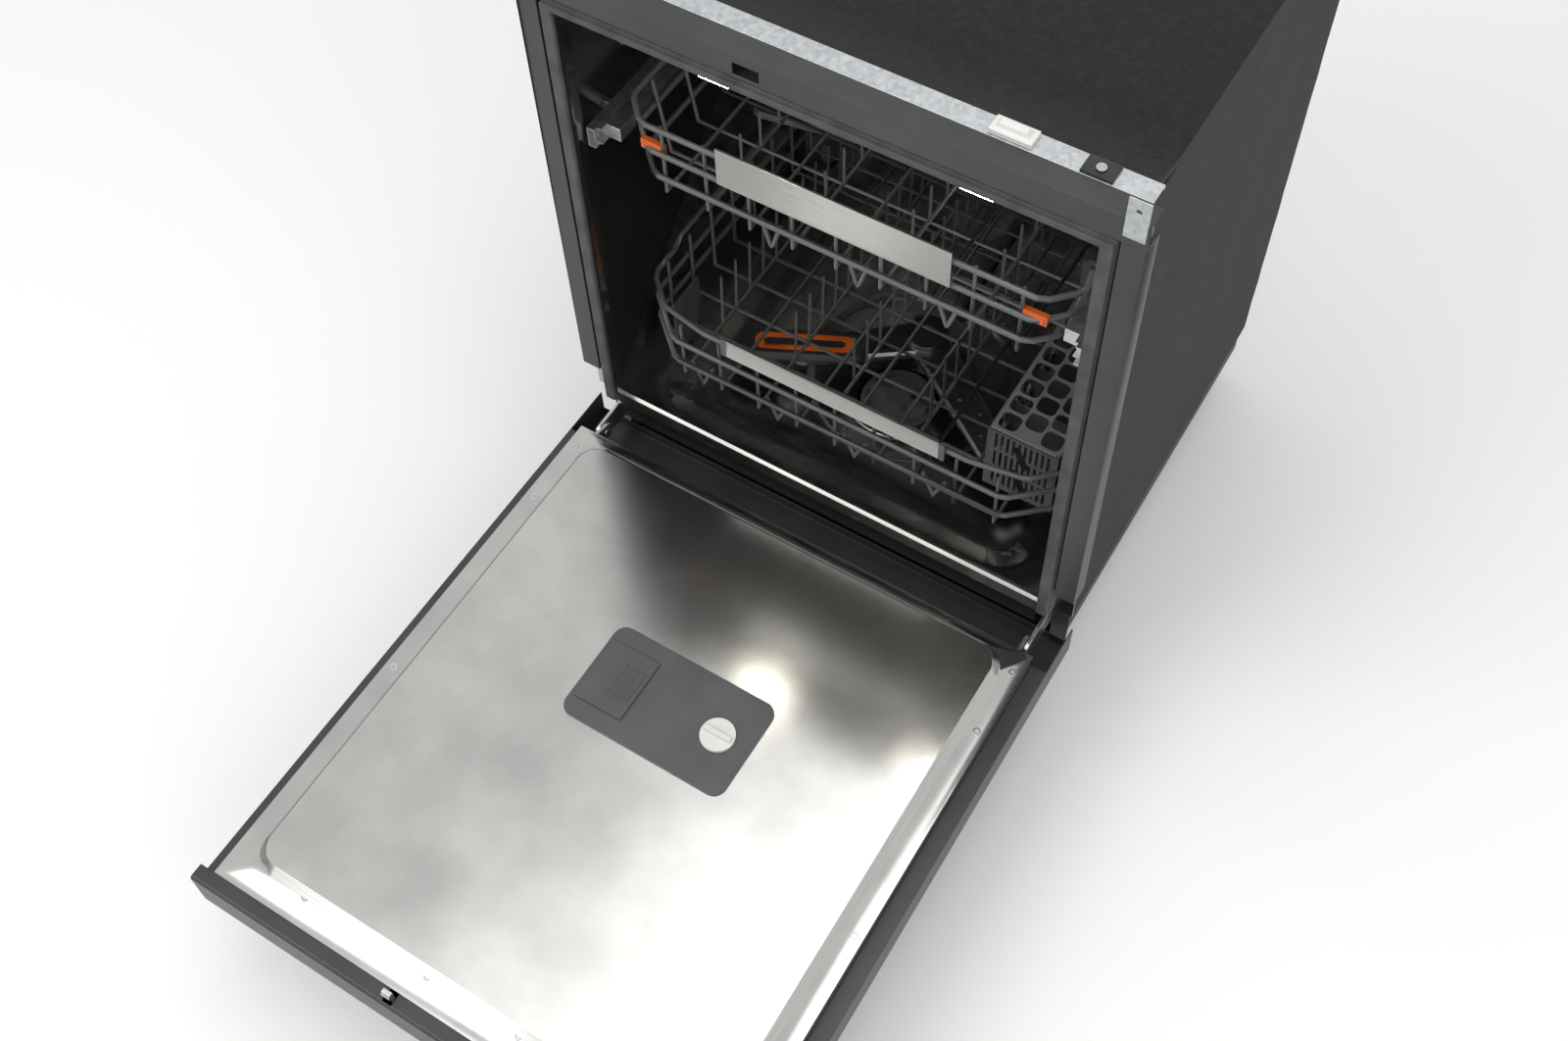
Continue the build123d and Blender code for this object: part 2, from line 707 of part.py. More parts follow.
# ---------------------------------------------------------------- base
def make_base():
    """Base tray, side plates, kick plate and feet."""
    outer = wall_outer_x + base_wall
    top = base_bottom + base_height
    inner_y = base_front_y + base_wall
    tray = block(-outer, outer, base_front_y, tub_back_y + 2 * base_wall, base_bottom, top)
    tray -= block(
        -wall_outer_x, wall_outer_x, inner_y, tub_back_y + base_wall, base_bottom + base_wall, top
    )
    for x, y in foot_places:
        boss = Pos(x, y, base_bottom) * extrude(RegularPolygon(foot_boss_radius, 6), foot_boss_height)
        tray += boss
        tray -= drum(x, y, base_bottom - 1, top, foot_stem_radius + pin_clearance)
    tray -= rod(
        (hose_x, tub_back_y, pump_z), (hose_x, cabinet_depth, pump_z), hose_radius + running_gap
    )
    add("base_tray", tray)
    for name, (x, y) in zip(("foot_left", "foot_right", "foot_rear"), foot_places):
        pad = drum(x, y, 0, foot_pad, foot_radius)
        pad = chamfer(pad.edges().sort_by(Axis.Z)[-1], foot_chamfer)
        stem = drum(x, y, foot_pad, foot_pad + foot_stem_length, foot_stem_radius)
        nut = Pos(x, y, foot_pad) * extrude(RegularPolygon(foot_nut_radius, 6), foot_nut_height)
        add(name, pad + stem + nut)

    web = Polyline(
        (side_plate_y, track_z - sheet), (side_plate_y, top), (inner_y, top),
        (inner_y, side_plate_bottom), (tub_back_y, side_plate_bottom), (tub_back_y, track_z - sheet),
        close=True,
    )
    plate = along_x(make_face(web), tub_half_width, wall_outer_x)
    plate += block(
        tub_half_width, half_width - side_plate_inset, side_plate_y, side_plate_y + sheet,
        top, track_z - sheet,
    )
    add("side_plates", plate, mirrored(plate))

    flange_y = kick_y + kick_flange
    kick = Polyline(
        (kick_y, kick_bottom), (kick_y, top + sheet), (flange_y, top + sheet), (flange_y, top),
        (kick_y + sheet, top), (kick_y + sheet, kick_bottom), close=True,
    )
    kick_half = tub_half_width - running_gap
    add("kick_plate", along_x(make_face(kick), -kick_half, kick_half))

    lug = Pos(hinge_y, hinge_z) * Circle(hinge_lug_radius)
    lug_edge = hinge_lug_radius - 0.1
    arm = make_face(
        Polyline(
            (hinge_y, hinge_z + lug_edge), (hinge_bracket_y, hinge_z + hinge_bracket_rise),
            (hinge_bracket_y, hinge_z - hinge_bracket_drop),
            (hinge_bracket_front_y, hinge_z - hinge_bracket_drop), (hinge_y, hinge_z - lug_edge),
            close=True,
        )
    )
    plate_x = tub_half_width - hinge_plate_thickness
    fixed = along_x(lug + arm, plate_x, tub_half_width)
    fixed += rod(
        (plate_x - hinge_plate_thickness - 2 * hinge_plate_gap, hinge_y, hinge_z),
        (tub_half_width - 1, hinge_y, hinge_z), hinge_pin_radius,
    )
    add("hinge_brackets", fixed, mirrored(fixed))


def make_pumps():
    """Sump with its riser, circulation pump and drain pump with its hose."""
    top = well_z - sheet
    duct_bottom = top - duct_height
    duct = block(
        -duct_half_width, duct_half_width, well_y + sump_radius, arm_y + duct_half_width,
        duct_bottom, top,
    )
    bowl = drum(0, well_y, top - sump_height, top, sump_radius)
    bowl += rod((0, well_y, pump_z), (sump_boss_x, well_y, pump_z), pump_neck_radius + 2)
    bowl += rod((0, well_y, pump_z), (-sump_boss_x, well_y, pump_z), drain_neck_radius + 2)
    hub_seat = arm_bottom_z - running_gap
    add(
        "sump",
        bowl,
        duct,
        drum(0, arm_y, top, hub_seat, riser_radius),
        drum(0, arm_y, hub_seat, arm_bottom_z + arm_thickness + hub_rise, spindle_radius - pin_clearance),
    )

    neck = sump_boss_x + touch_gap
    add(
        "circulation_pump",
        rod((neck, well_y, pump_z), (pump_neck_end, well_y, pump_z), pump_neck_radius),
        rod((pump_neck_end, well_y, pump_z), (pump_scroll_end, well_y, pump_z), pump_scroll_radius),
        rod((pump_scroll_end, well_y, pump_z), (pump_motor_end, well_y, pump_z), pump_motor_radius),
    )
    hose_y = well_y + drain_motor_radius + touch_gap
    hose = tube(
        [(hose_start_x, hose_y, pump_z), (hose_start_x, hose_turn_y, pump_z),
         (hose_x, hose_turn_y, pump_z), (hose_x, cabinet_depth, pump_z)],
        hose_bend, (0, 0, 1), hose_radius,
    )
    add(
        "drain_pump",
        rod((-neck, well_y, pump_z), (-drain_neck_end, well_y, pump_z), drain_neck_radius),
        rod((-drain_neck_end, well_y, pump_z), (-drain_motor_end, well_y, pump_z), drain_motor_radius),
        *hose,
    )


# ---------------------------------------------------------------- door
def field_shape(grow):
    """The raised field of the liner, grown outwards by a wall's thickness."""
    front = open_y(cabinet_height - field_top_drop)
    back = open_y(field_bottom_closed_z)
    middle, length = (front + back) / 2, back - front
    foot_half = field_half_width + field_slope + grow
    foot = RectangleRounded(2 * foot_half, length + 2 * field_slope + 2 * grow, field_foot_corner)
    crown = RectangleRounded(2 * (field_half_width + grow), length + 2 * grow, field_corner)
    return loft([Pos(0, middle, liner_z - sheet) * foot, Pos(0, middle, field_z + grow) * crown])


def make_door():
    """Outer panel, liner, console, latch, buttons and hinge arms."""
    skin, top = outer_z + sheet, outer_z + panel_flange
    panel = block(-door_half, door_half, liner_end_y, door_heel_y, outer_z, skin)
    side = block(door_half - sheet, door_half, liner_end_y, door_heel_y, skin, top)
    turn = block(liner_half_width, door_half, liner_end_y, liner_heel_y, top - sheet, top)
    heel = block(-door_half, door_half, door_heel_y - sheet, door_heel_y, skin, skin + heel_height)
    add("door_outer_panel", panel + side + mirrored(side) + turn + mirrored(turn) + heel)

    border = block(
        -liner_half_width, liner_half_width, liner_end_y, liner_heel_y, liner_z - sheet, liner_z
    )
    skirt = block(
        liner_half_width - sheet, liner_half_width, liner_end_y, liner_heel_y,
        top - liner_skirt, liner_z - sheet,
    )
    opening = RectangleRounded(dispenser_width, dispenser_length, dispenser_corner)
    opening = Pos(0, dispenser_y, liner_z - 10) * extrude(opening, 40)
    liner = border + skirt + mirrored(skirt) + field_shape(0) - field_shape(-sheet)
    add("door_liner", liner - opening)

    cap_top = liner_z - console_drop
    cap = block(-door_half, door_half, door_end_y, liner_end_y, outer_z, cap_top)
    cap = fillet(cap.edges().filter_by(Axis.X).group_by(Axis.Y)[0], console_round)
    cap -= block(
        -door_half + console_wall, door_half - console_wall, door_end_y + console_wall, liner_end_y,
        outer_z + console_wall, cap_top - console_wall,
    )
    hook_half = latch_width / 2
    cap -= block(
        latch_x - hook_half - running_gap, latch_x + hook_half + running_gap,
        door_end_y + console_wall, liner_end_y, liner_z - 10, liner_z,
    )
    button_z = liner_z - button_drop
    for x in button_xs:
        cap -= rod(
            (x, door_end_y - 1, button_z), (x, door_end_y + 2 * console_wall, button_z),
            button_radius + button_clearance,
        )
    add("door_console", cap)
    for name, x in zip(("power_button", "start_button"), button_xs):
        front = door_end_y - door_side_gap
        add(name, rod((x, front, button_z), (x, front + button_length, button_z), button_radius))

    hook_y = open_y(cabinet_height - latch_drop)
    hook = Polyline(
        (hook_y - 2, liner_z - latch_depth), (hook_y - 2, liner_z + latch_rise - 6),
        (hook_y - 2 - latch_nose, liner_z + latch_rise - 4), (hook_y - 2, liner_z + latch_rise),
        (hook_y + 2, liner_z + latch_rise), (hook_y + 2, liner_z - latch_depth), close=True,
    )
    add("door_latch", along_x(make_face(hook), latch_x - hook_half, latch_x + hook_half))

    eye = Pos(hinge_y, hinge_z) * Circle(hinge_lug_radius)
    lug_edge = hinge_lug_radius - 0.1
    reach = make_face(
        Polyline(
            (hinge_y, hinge_z + lug_edge), (liner_heel_y - 8, liner_z - sheet),
            (hinge_y - hinge_arm_length, liner_z - sheet),
            (hinge_y - hinge_arm_length, hinge_z - hinge_arm_drop), (hinge_y, hinge_z - lug_edge),
            close=True,
        )
    )
    bore = Pos(hinge_y, hinge_z) * Circle(hinge_pin_radius + pin_clearance)
    start = tub_half_width - 2 * hinge_plate_thickness - hinge_plate_gap
    arm = along_x(eye + reach - bore, start, start + hinge_plate_thickness)
    add("hinge_arms", arm, mirrored(arm))


def make_dispenser():
    """The detergent cup under its sliding lid, and the rinse aid cap that turns."""
    top = field_z + dispenser_rise
    body = block(
        -dispenser_width / 2 + dispenser_play, dispenser_width / 2 - dispenser_play,
        dispenser_y - dispenser_length / 2 + dispenser_play,
        dispenser_y + dispenser_length / 2 - dispenser_play, top - dispenser_depth, top,
    )
    body = fillet(body.edges().filter_by(Axis.Z), dispenser_corner)
    cup = RectangleRounded(cup_width, cup_length, cup_corner)
    body -= Pos(cup_x, dispenser_y, top - cup_depth) * extrude(cup, 2 * cup_depth)
    body -= drum(
        rinse_x, dispenser_y, top - rinse_plug_depth - 2, top + 1, rinse_plug_radius + pin_clearance
    )
    add("dispenser_body", body)

    half_x, half_y = cup_width / 2 + cup_lid_lap, cup_length / 2 + cup_lid_lap
    low = top + running_gap
    high = low + cup_lid_thickness
    lid = block(cup_x - half_x, cup_x + half_x, dispenser_y - half_y, dispenser_y + half_y, low, high)
    for k in range(4):
        x = cup_x + half_x - cup_rib_pitch * (k + 1)
        lid += block(x, x + 2, dispenser_y - half_y / 2, dispenser_y + half_y / 2, high, high + 1)
    add("dispenser_lid", lid)

    rim_low = top + running_gap
    cap = drum(rinse_x, dispenser_y, rim_low, rim_low + rinse_rim_height, rinse_rim_radius)
    cap += Pos(rinse_x, dispenser_y, rim_low + rinse_rim_height + rinse_grip_height / 2) * Box(
        rinse_grip_length, rinse_grip_width, rinse_grip_height
    )
    cap += drum(rinse_x, dispenser_y, top - rinse_plug_depth, rim_low, rinse_plug_radius)
    add("rinse_aid_cap", cap)


# ---------------------------------------------------------------- lower rack
def basket_outline(z, front_y, rear_y, half, cut_x, cut_y):
    """The corners of a rack's loop, with its front corners cut off."""
    return [
        (-half + cut_x, front_y, z), (half - cut_x, front_y, z), (half, front_y + cut_y, z),
        (half, rear_y, z), (-half, rear_y, z), (-half, front_y + cut_y, z),
    ]


def handle_bar(half, z0, z1, front_y):
    """A flat steel strip in front of a rack's rims."""
    face_y = front_y - rim_half - touch_gap
    return along_y(area(-half, half, z0, z1), face_y - handle_thickness, face_y)


def make_lower_rims():
    """The three stacked loops of thick wire round the lower rack."""
    x, front, rear = lower_half_width, lower_front_y, lower_rear_y
    top, step = lower_top_z, lower_rear_z - 12
    right = [
        (lower_handle_half + 30, front, lower_front_z + 6), (x - 34, front + 14, lower_front_z),
        (x, front + 46, lower_front_z), (x, front + 84, lower_front_z),
        (x, front + 98, top), (x, rear - 34, top), (x - 3, rear - 10, lower_rear_z),
        (x - 30, rear, lower_rear_z),
    ]
    dip = [(74, rear, lower_rear_z), (60, rear, step), (4, rear, step), (-10, rear, lower_rear_z)]
    left = [(-px, py, pz) for px, py, pz in reversed(right)]
    bends = [14, 16, 16, 0, 0, 12, 9, 9] + [0] * 4 + [9, 9, 12, 0, 0, 16, 16, 14]
    corner = (lower_corner_x, lower_corner_y)
    add(
        "lower_rack_rims",
        *rim(right + dip + left, bends),
        *rim(basket_outline(lower_middle_z, front, rear, x, *corner), [lower_bend] * 6),
        *rim(basket_outline(lower_bottom_z, front, rear, x, *corner), [lower_bend] * 6),
    )


def make_lower_wires():
    """Cross wires, floor wires with the fixed tines, and the folding tines."""
    front, rear = lower_front_y, lower_rear_y
    inside = lower_half_width - rim_half - wire_half - touch_gap
    cross_ys = spaced(front + lower_cross_front, rear - lower_cross_rear, lower_cross_count)
    crossing = []
    for y in cross_ys:
        crossing += bent(
            [(-inside, y, lower_front_z + 4), (-inside, y, lower_floor_z),
             (inside, y, lower_floor_z), (inside, y, lower_front_z + 4)],
            (0, 1, 0),
        )
    add("lower_rack_cross_wires", *crossing)

    near = front + rim_half + wire_half + touch_gap
    far = rear - rim_half - wire_half - touch_gap
    floor = []
    for k in range(-4, 5):
        x = k * lower_pitch
        floor += bent(
            [(x, near, lower_front_z - 6), (x, near, lower_long_z), (x, far, lower_long_z),
             (x, far, lower_rear_z - 20)],
            (1, 0, 0),
        )
    tine_ys = spaced(front + lower_tine_front, rear - lower_tine_rear, lower_tine_count)
    foot = lower_long_z + wire_half + tine_seat
    for x in (-4 * lower_pitch, -2 * lower_pitch):
        for y in tine_ys:
            floor += bent([(x, y, foot), (x, y + tine_lean, foot + tine_height)], (1, 0, 0), tine_radius, 4)
    v_y = front + rim_half + wire_radius + touch_gap
    for k in (-3.5, -1.5, 0.5, 2.5):
        x = k * lower_pitch
        floor += bent(
            [(x - front_v_half, v_y, lower_bottom_z + 4), (x, v_y, lower_floor_z - 2),
             (x + front_v_half, v_y, lower_bottom_z + 4)],
            (0, 1, 0),
        )
    add("lower_rack_floor_wires", *floor)

    start, end = front + fold_front, rear - fold_rear
    step = (tine_ys[-1] - tine_ys[0]) / (lower_tine_count - 1)
    for name, x in (("folding_tines_left", fold_left_x), ("folding_tines_right", fold_right_x)):
        pegs = [rod((x, start, fold_z), (x, end, fold_z), wire_radius)]
        foot = fold_z + wire_radius
        for k in range(lower_tine_count - 1):
            y = start + fold_front / 4 + step * k
            pegs += bent([(x, y, foot), (x, y, foot + tine_height)], (0, 1, 0), tine_radius, 4)
        add(name, *pegs)


def make_lower_fittings():
    """Handle, its end caps, the clips with their axles, and the wheels."""
    low = lower_front_z + 6 - lower_handle_height / 2
    high = low + lower_handle_height
    add("lower_rack_handle", handle_bar(lower_handle_half, low, high, lower_front_y))

    cap_x = lower_handle_half + touch_gap + cap_width / 2
    face_y = lower_front_y - rim_half - touch_gap
    cap = area(cap_x - cap_width / 2, cap_x + cap_width / 2, low, high)
    cap = along_y(cap, face_y - handle_thickness, face_y)
    brackets = [cap, mirrored(cap)]
    cross_ys = spaced(
        lower_front_y + lower_cross_front, lower_rear_y - lower_cross_rear, lower_cross_count
    )
    for y in (wheel_front_y, wheel_rear_y):
        top, ledge, foot = lower_bottom_z + 6, lower_floor_z - 4, axle_z - clip_foot
        clip = Polyline(
            (y - clip_half, top), (y + clip_half, top), (y + clip_half, ledge),
            (y + clip_foot, foot), (y - clip_foot, foot), (y - clip_half, ledge), close=True,
        )
        clip = along_x(make_face(clip), clip_outer_x - clip_thickness, clip_outer_x)
        for cross_y in cross_ys:
            if abs(cross_y - y) < clip_half + wire_radius:
                clip -= block(
                    clip_outer_x - 2 * clip_thickness, clip_outer_x + clip_thickness,
                    cross_y - wire_radius - touch_gap, cross_y + wire_radius + touch_gap,
                    lower_floor_z - wire_radius, lower_floor_z + wire_radius,
                )
        clip += rod(
            (clip_outer_x - 1, y, axle_z), (wheel_x + wheel_thickness / 2 + 1, y, axle_z), axle_radius
        )
        brackets += [clip, mirrored(clip)]
    add("lower_rack_clips", *brackets)

    for side, sign in (("left", -1), ("right", 1)):
        for place, y in (("front", wheel_front_y), ("rear", wheel_rear_y)):
            tyre = Cylinder(wheel_radius, wheel_thickness)
            tyre -= Cylinder(axle_radius + pin_clearance, wheel_thickness)
            add(f"wheel_{side}_{place}", Pos(sign * wheel_x, y, axle_z) * Rot(0, 90, 0) * tyre)


# ---------------------------------------------------------------- cutlery basket
def make_basket_half(y0, side_slots, end_slots):
    """One half of the basket: slotted walls, dividers and the ears that carry its lid."""
    x0, x1, z0, z1 = basket_inner_x, basket_outer_x, basket_floor_z, basket_top_z
    y1, low = y0 + basket_half_length, basket_floor_z + basket_wall
    middle_x, middle_y, middle_z = (x0 + x1) / 2, (y0 + y1) / 2, (z0 + z1) / 2
    across = Pos(middle_x, middle_y, middle_z) * Rot(0, 90, 0) * side_slots
    shapes = [block(x0, x1, y0, y1, z0, low)]
    for x in (x0, x1 - basket_wall):
        shapes.append(block(x, x + basket_wall, y0, y1, low, z1) - across)
    for y in (y0, y1 - basket_wall):
        wall = block(x0 + basket_wall, x1 - basket_wall, y, y + basket_wall, low, z1)
        along = Pos(middle_x, y, middle_z) * Rot(90, 0, 0) * Rot(0, 0, 90) * end_slots
        shapes.append(wall - along)
    for k in range(1, basket_pockets):
        y = y0 + k * basket_half_length / basket_pockets
        shapes.append(
            block(
                x0 + basket_wall, x1 - basket_wall, y - basket_wall / 2, y + basket_wall / 2,
                low, z1 - divider_drop,
            )
        )
    ear_x, ear_width = lid_hinge_x - basket_wall, lid_inset - running_gap
    for y, inward in ((y0, 1), (y1, -1)):
        inner = y + inward * ear_width
        shapes.append(block(ear_x, x1, min(y, inner), max(y, inner), z1, z1 + lid_ear_height))
    return shapes


def make_lid(y0):
    """A lid of ribs round rows of openings, with a round edge that turns between the ears."""
    x0, x1 = basket_inner_x + lid_inset, lid_hinge_x
    start, end = y0 + lid_inset, y0 + basket_half_length - lid_inset
    low, high = basket_top_z + running_gap, basket_top_z + running_gap + lid_thickness
    pitch = lid_hole_length + lid_cross_rib
    rows = int((end - start - lid_cross_rib) // pitch)
    edge = (end - start - rows * pitch + lid_cross_rib) / 2
    column = (x1 - x0 - 3 * lid_hole - 2 * lid_rib) / 2
    shapes, x = [], x0
    for k, width in enumerate((column, lid_rib, lid_rib, column)):
        rib = block(x, x + width, start, end, low, high)
        if k == 3:
            rib += rod((x1, start, lid_hinge_z), (x1, end, lid_hinge_z), lid_thickness / 2)
        else:
            for row in range(rows + 1):
                y = start if row == 0 else start + edge + row * pitch - lid_cross_rib
                far = end if row == rows else start + edge + row * pitch
                shapes.append(block(x + width, x + width + lid_hole, y, far, low, high))
        shapes.append(rib)
        x += width + lid_hole
    return shapes


def make_cutlery_basket():
    """Two slotted halves joined by a handle block, and their perforated lids."""
    slot = Rot(0, 0, slot_turn) * Rectangle(slot_length, slot_width)
    per_side = int((basket_half_length - slot_pitch) // slot_pitch)
    per_end = int((basket_width - slot_pitch) // slot_pitch)
    pitch = slot_length + slot_gap
    side_slots = lattice(2, per_side, pitch, slot_pitch, slot, 2 * basket_width)
    end_slots = lattice(2, per_end, pitch, slot_pitch, slot, 2 * basket_wall)
    shapes = []
    for y0 in basket_starts:
        shapes += make_basket_half(y0, side_slots, end_slots)

    x0, x1 = basket_inner_x, basket_outer_x
    y0, y1 = basket_starts[0] + basket_half_length, basket_starts[1]
    sill, top = basket_top_z + grip_step, basket_top_z + basket_handle_rise
    bar = block(x0, x1, y0, y1, top - basket_grip, top)
    bar = chamfer(bar.edges().filter_by(Axis.Y).group_by(Axis.Z)[-1], basket_grip_chamfer)
    shapes += [
        block(x0, x1, y0, y1, basket_floor_z + basket_handle_foot, sill),
        block(x0, x0 + basket_grip, y0, y1, sill, top - basket_grip),
        block(x1 - basket_grip, x1, y0, y1, sill, top - basket_grip),
        bar,
    ]
    add("cutlery_basket", *shapes)
    for name, y0 in zip(("basket_lid_front", "basket_lid_rear"), basket_starts):
        add(name, *make_lid(y0))


# ---------------------------------------------------------------- upper rack
def make_upper_rack():
    """Rims that narrow downwards, wires with their tines, and the handle."""
    front, rear, cut = upper_front_y, upper_rear_y, upper_corner
    loops = []
    for z in (upper_top_z, upper_middle_z, upper_bottom_z):
        half = upper_half_width - upper_lean * (upper_top_z - z)
        loops += rim(basket_outline(z, front, rear, half, cut, cut), [upper_bend] * 6)
    add("upper_rack_rims", *loops)

    top_x, low_x = upper_inside, upper_inside - upper_taper
    wires = []
    for y in spaced(front + upper_cross_front, rear - upper_cross_rear, upper_cross_count):
        wires += bent(
            [(-top_x, y, upper_top_z), (-low_x, y, upper_floor_z), (low_x, y, upper_floor_z),
             (top_x, y, upper_top_z)],
            (0, 1, 0),
        )
    floor_z = upper_floor_z + 2 * wire_half + touch_gap
    near = front + rim_half + wire_half + touch_gap
    far = rear - rim_half - wire_half - touch_gap
    for k in range(-4, 5):
        x = k * upper_pitch
        wires += bent(
            [(x, near, upper_top_z), (x, near, floor_z), (x, far, floor_z), (x, far, upper_top_z)],
            (1, 0, 0),
        )
    foot = floor_z + wire_half + touch_gap
    for k in (-3, -1, 1, 3):
        x = k * upper_pitch
        for y in spaced(front + upper_tine_front, rear - upper_tine_rear, upper_tine_count):
            wires += bent([(x, y, foot), (x, y, foot + upper_tine_height)], (1, 0, 0), tine_radius, 4)
    add("upper_rack_wires", *wires)

    middle = upper_top_z - upper_handle_drop
    low, high = middle - upper_handle_height / 2, middle + upper_handle_height / 2
    add("upper_rack_handle", handle_bar(upper_handle_half, low, high, front))


def channel(x0, x1, half_height, y0, y1):
    """A rail's folded section, open towards the middle of the machine."""
    outside = area(x0, x1, rail_z - half_height, rail_z + half_height)
    hollow_half = half_height - slide_wall
    return along_y(outside - area(x0, x1 - slide_wall, rail_z - hollow_half, rail_z + hollow_half), y0, y1)


def make_slides():
    """Three-part telescopic slides on both walls of the tub."""
    rail_x = tub_half_width - rail_inset
    rear_y = tub_back_y - rail_rear_gap
    half = rail_height_slide / 2
    fixed = channel(rail_x - rail_channel, rail_x, half, rail_front_y, rear_y)
    for y in (rail_front_y + stud_margin, (rail_front_y + rear_y) / 2, rear_y - stud_margin):
        fixed += bent([(rail_x - 1, y, rail_z), (tub_half_width, y, rail_z)], (0, 1, 0), stud_radius)
    add("fixed_rails", fixed, mirrored(fixed))

    middle_x = rail_x - slide_wall - running_gap
    half -= slide_wall + running_gap
    middle = channel(
        rail_x - rail_channel - rail_lap, middle_x, half,
        rail_front_y + middle_front_step, rear_y - middle_rear_step,
    )
    add("middle_rail_right", middle)
    add("middle_rail_left", mirrored(middle))

    half -= slide_wall + running_gap
    rim_x = upper_half_width - upper_lean * (upper_top_z - upper_middle_z)
    section = area(
        rim_x + rim_half + touch_gap, middle_x - slide_wall - running_gap, rail_z - half, rail_z + half
    )
    slide = along_y(section, upper_front_y - slide_front_step, upper_rear_y - slide_rear_step)
    add("rack_slides", slide, mirrored(slide))


def make_cup_shelves():
    """Slotted shelves that turn up on tubes along the upper rack's sides."""
    x, z, y = shelf_tube_x, shelf_tube_z, shelf_middle_y
    plate = Rectangle(shelf_width, shelf_length)
    plate = along_z(Pos(x - shelf_width / 2, y) * plate, z, z + shelf_thickness)
    hole = Rectangle(shelf_hole_width, shelf_hole_length)
    holes = lattice(2, 4, shelf_hole_pitch_x, shelf_hole_pitch_y, hole, 20)
    plate -= Pos(x - shelf_width / 2 - shelf_tube_radius, y, z) * holes
    tube_bar = rod((x, y - shelf_length / 2, z), (x, y + shelf_length / 2, z), shelf_tube_radius)
    shelf = plate + tube_bar
    add("cup_shelf_right", shelf)
    add("cup_shelf_left", mirrored(shelf))


# ---------------------------------------------------------------- spray arms, filter, pipes
def blade(reach, width, tip_width, thickness, turn):
    """One flat arm, tapering from the hub to a round tip."""
    tip = Pos(reach - tip_width / 2) * Circle(tip_width / 2)
    solid = extrude(make_hull(Circle(width / 2).edges() + tip.edges()), thickness)
    solid = chamfer(solid.edges().group_by(Axis.Z)[-1], arm_edge)
    return Rot(0, 0, turn) * solid


def jets(start, pitch, turn, thickness):
    """A row of jet holes along an arm."""
    hole = extrude(RegularPolygon(jet_radius, 6), 2 * jet_depth)
    return [
        Rot(0, 0, turn) * Pos(start + pitch * k, jet_offset * (-1) ** k, thickness - jet_depth) * hole
        for k in range(jet_count)
    ]


def make_lower_arm():
    """The lower spray arm and the satellite that spins on its left branch."""
    bore = Cylinder(spindle_radius, 60)
    pivot = Rot(0, 0, satellite_branch) * Pos(satellite_offset, 0, 0)
    satellite_z = arm_thickness + running_gap
    arm = blade(arm_reach, arm_width, arm_tip_width, arm_thickness, right_branch)
    left_reach = satellite_offset + satellite_margin
    arm += blade(left_reach, arm_width, arm_tip_width, arm_thickness, satellite_branch)
    arm += pivot * extrude(Circle(satellite_pin_radius), satellite_z + satellite_thickness)
    arm = arm + extrude(Circle(hub_radius), arm_thickness + hub_rise) - bore
    arm -= jets(lower_jet_start, lower_jet_pitch, right_branch, arm_thickness)
    add("lower_spray_arm", Pos(0, arm_y, arm_bottom_z) * arm)

    place = Pos(0, arm_y, arm_bottom_z + satellite_z) * pivot
    place *= Rot(0, 0, satellite_turn - satellite_branch)
    shaft = Cylinder(satellite_pin_radius + pin_clearance, 60)
    body = extrude(SlotOverall(satellite_length, satellite_width), satellite_thickness)
    body = chamfer(body.edges().group_by(Axis.Z)[-1], satellite_edge)
    body -= Pos(0, 0, insert_floor) * extrude(SlotOverall(insert_length, insert_width), 10)
    add("satellite_arm", place * (body - shaft))
    insert_height = satellite_thickness - insert_floor + insert_rise
    insert = SlotOverall(insert_length - 2 * insert_play, insert_width - 2 * insert_play)
    insert = extrude(insert, insert_height)
    hole = extrude(RegularPolygon(insert_jet_radius, 6), insert_height)
    insert -= [Pos(x, 0, insert_height / 2) * hole for x in insert_jet_xs]
    add("satellite_insert", place * Pos(0, 0, insert_floor) * (insert - shaft))


def make_upper_arm():
    """The upper spray arm and the pipe that carries and feeds it."""
    arm = extrude(Circle(upper_hub_radius), upper_hub_height) - Cylinder(spindle_radius, 60)
    for turn in (upper_arm_turn, upper_arm_turn + 180):
        arm += blade(
            upper_arm_reach, upper_arm_width, upper_arm_tip_width, upper_arm_thickness, turn
        ) - Cylinder(spindle_radius, 60)
        arm -= jets(upper_jet_start, upper_jet_pitch, turn, upper_arm_thickness)
    bottom = upper_arm_z - upper_arm_drop
    add("upper_spray_arm", Pos(0, upper_arm_y, bottom) * arm)

    hub_top = bottom + upper_hub_height
    pipe = tube(
        [(0, upper_arm_y, hub_top + touch_gap + 1), (0, upper_arm_y, feed_z), (0, feed_joint_y, feed_z)],
        feed_bend, (1, 0, 0), feed_radius,
    )
    holder_top = bottom - running_gap
    add(
        "upper_arm_feed",
        *pipe,
        drum(0, upper_arm_y, holder_top, hub_top + touch_gap + 1, spindle_radius - pin_clearance),
        drum(0, upper_arm_y, holder_top - holder_thickness, holder_top, holder_radius),
    )


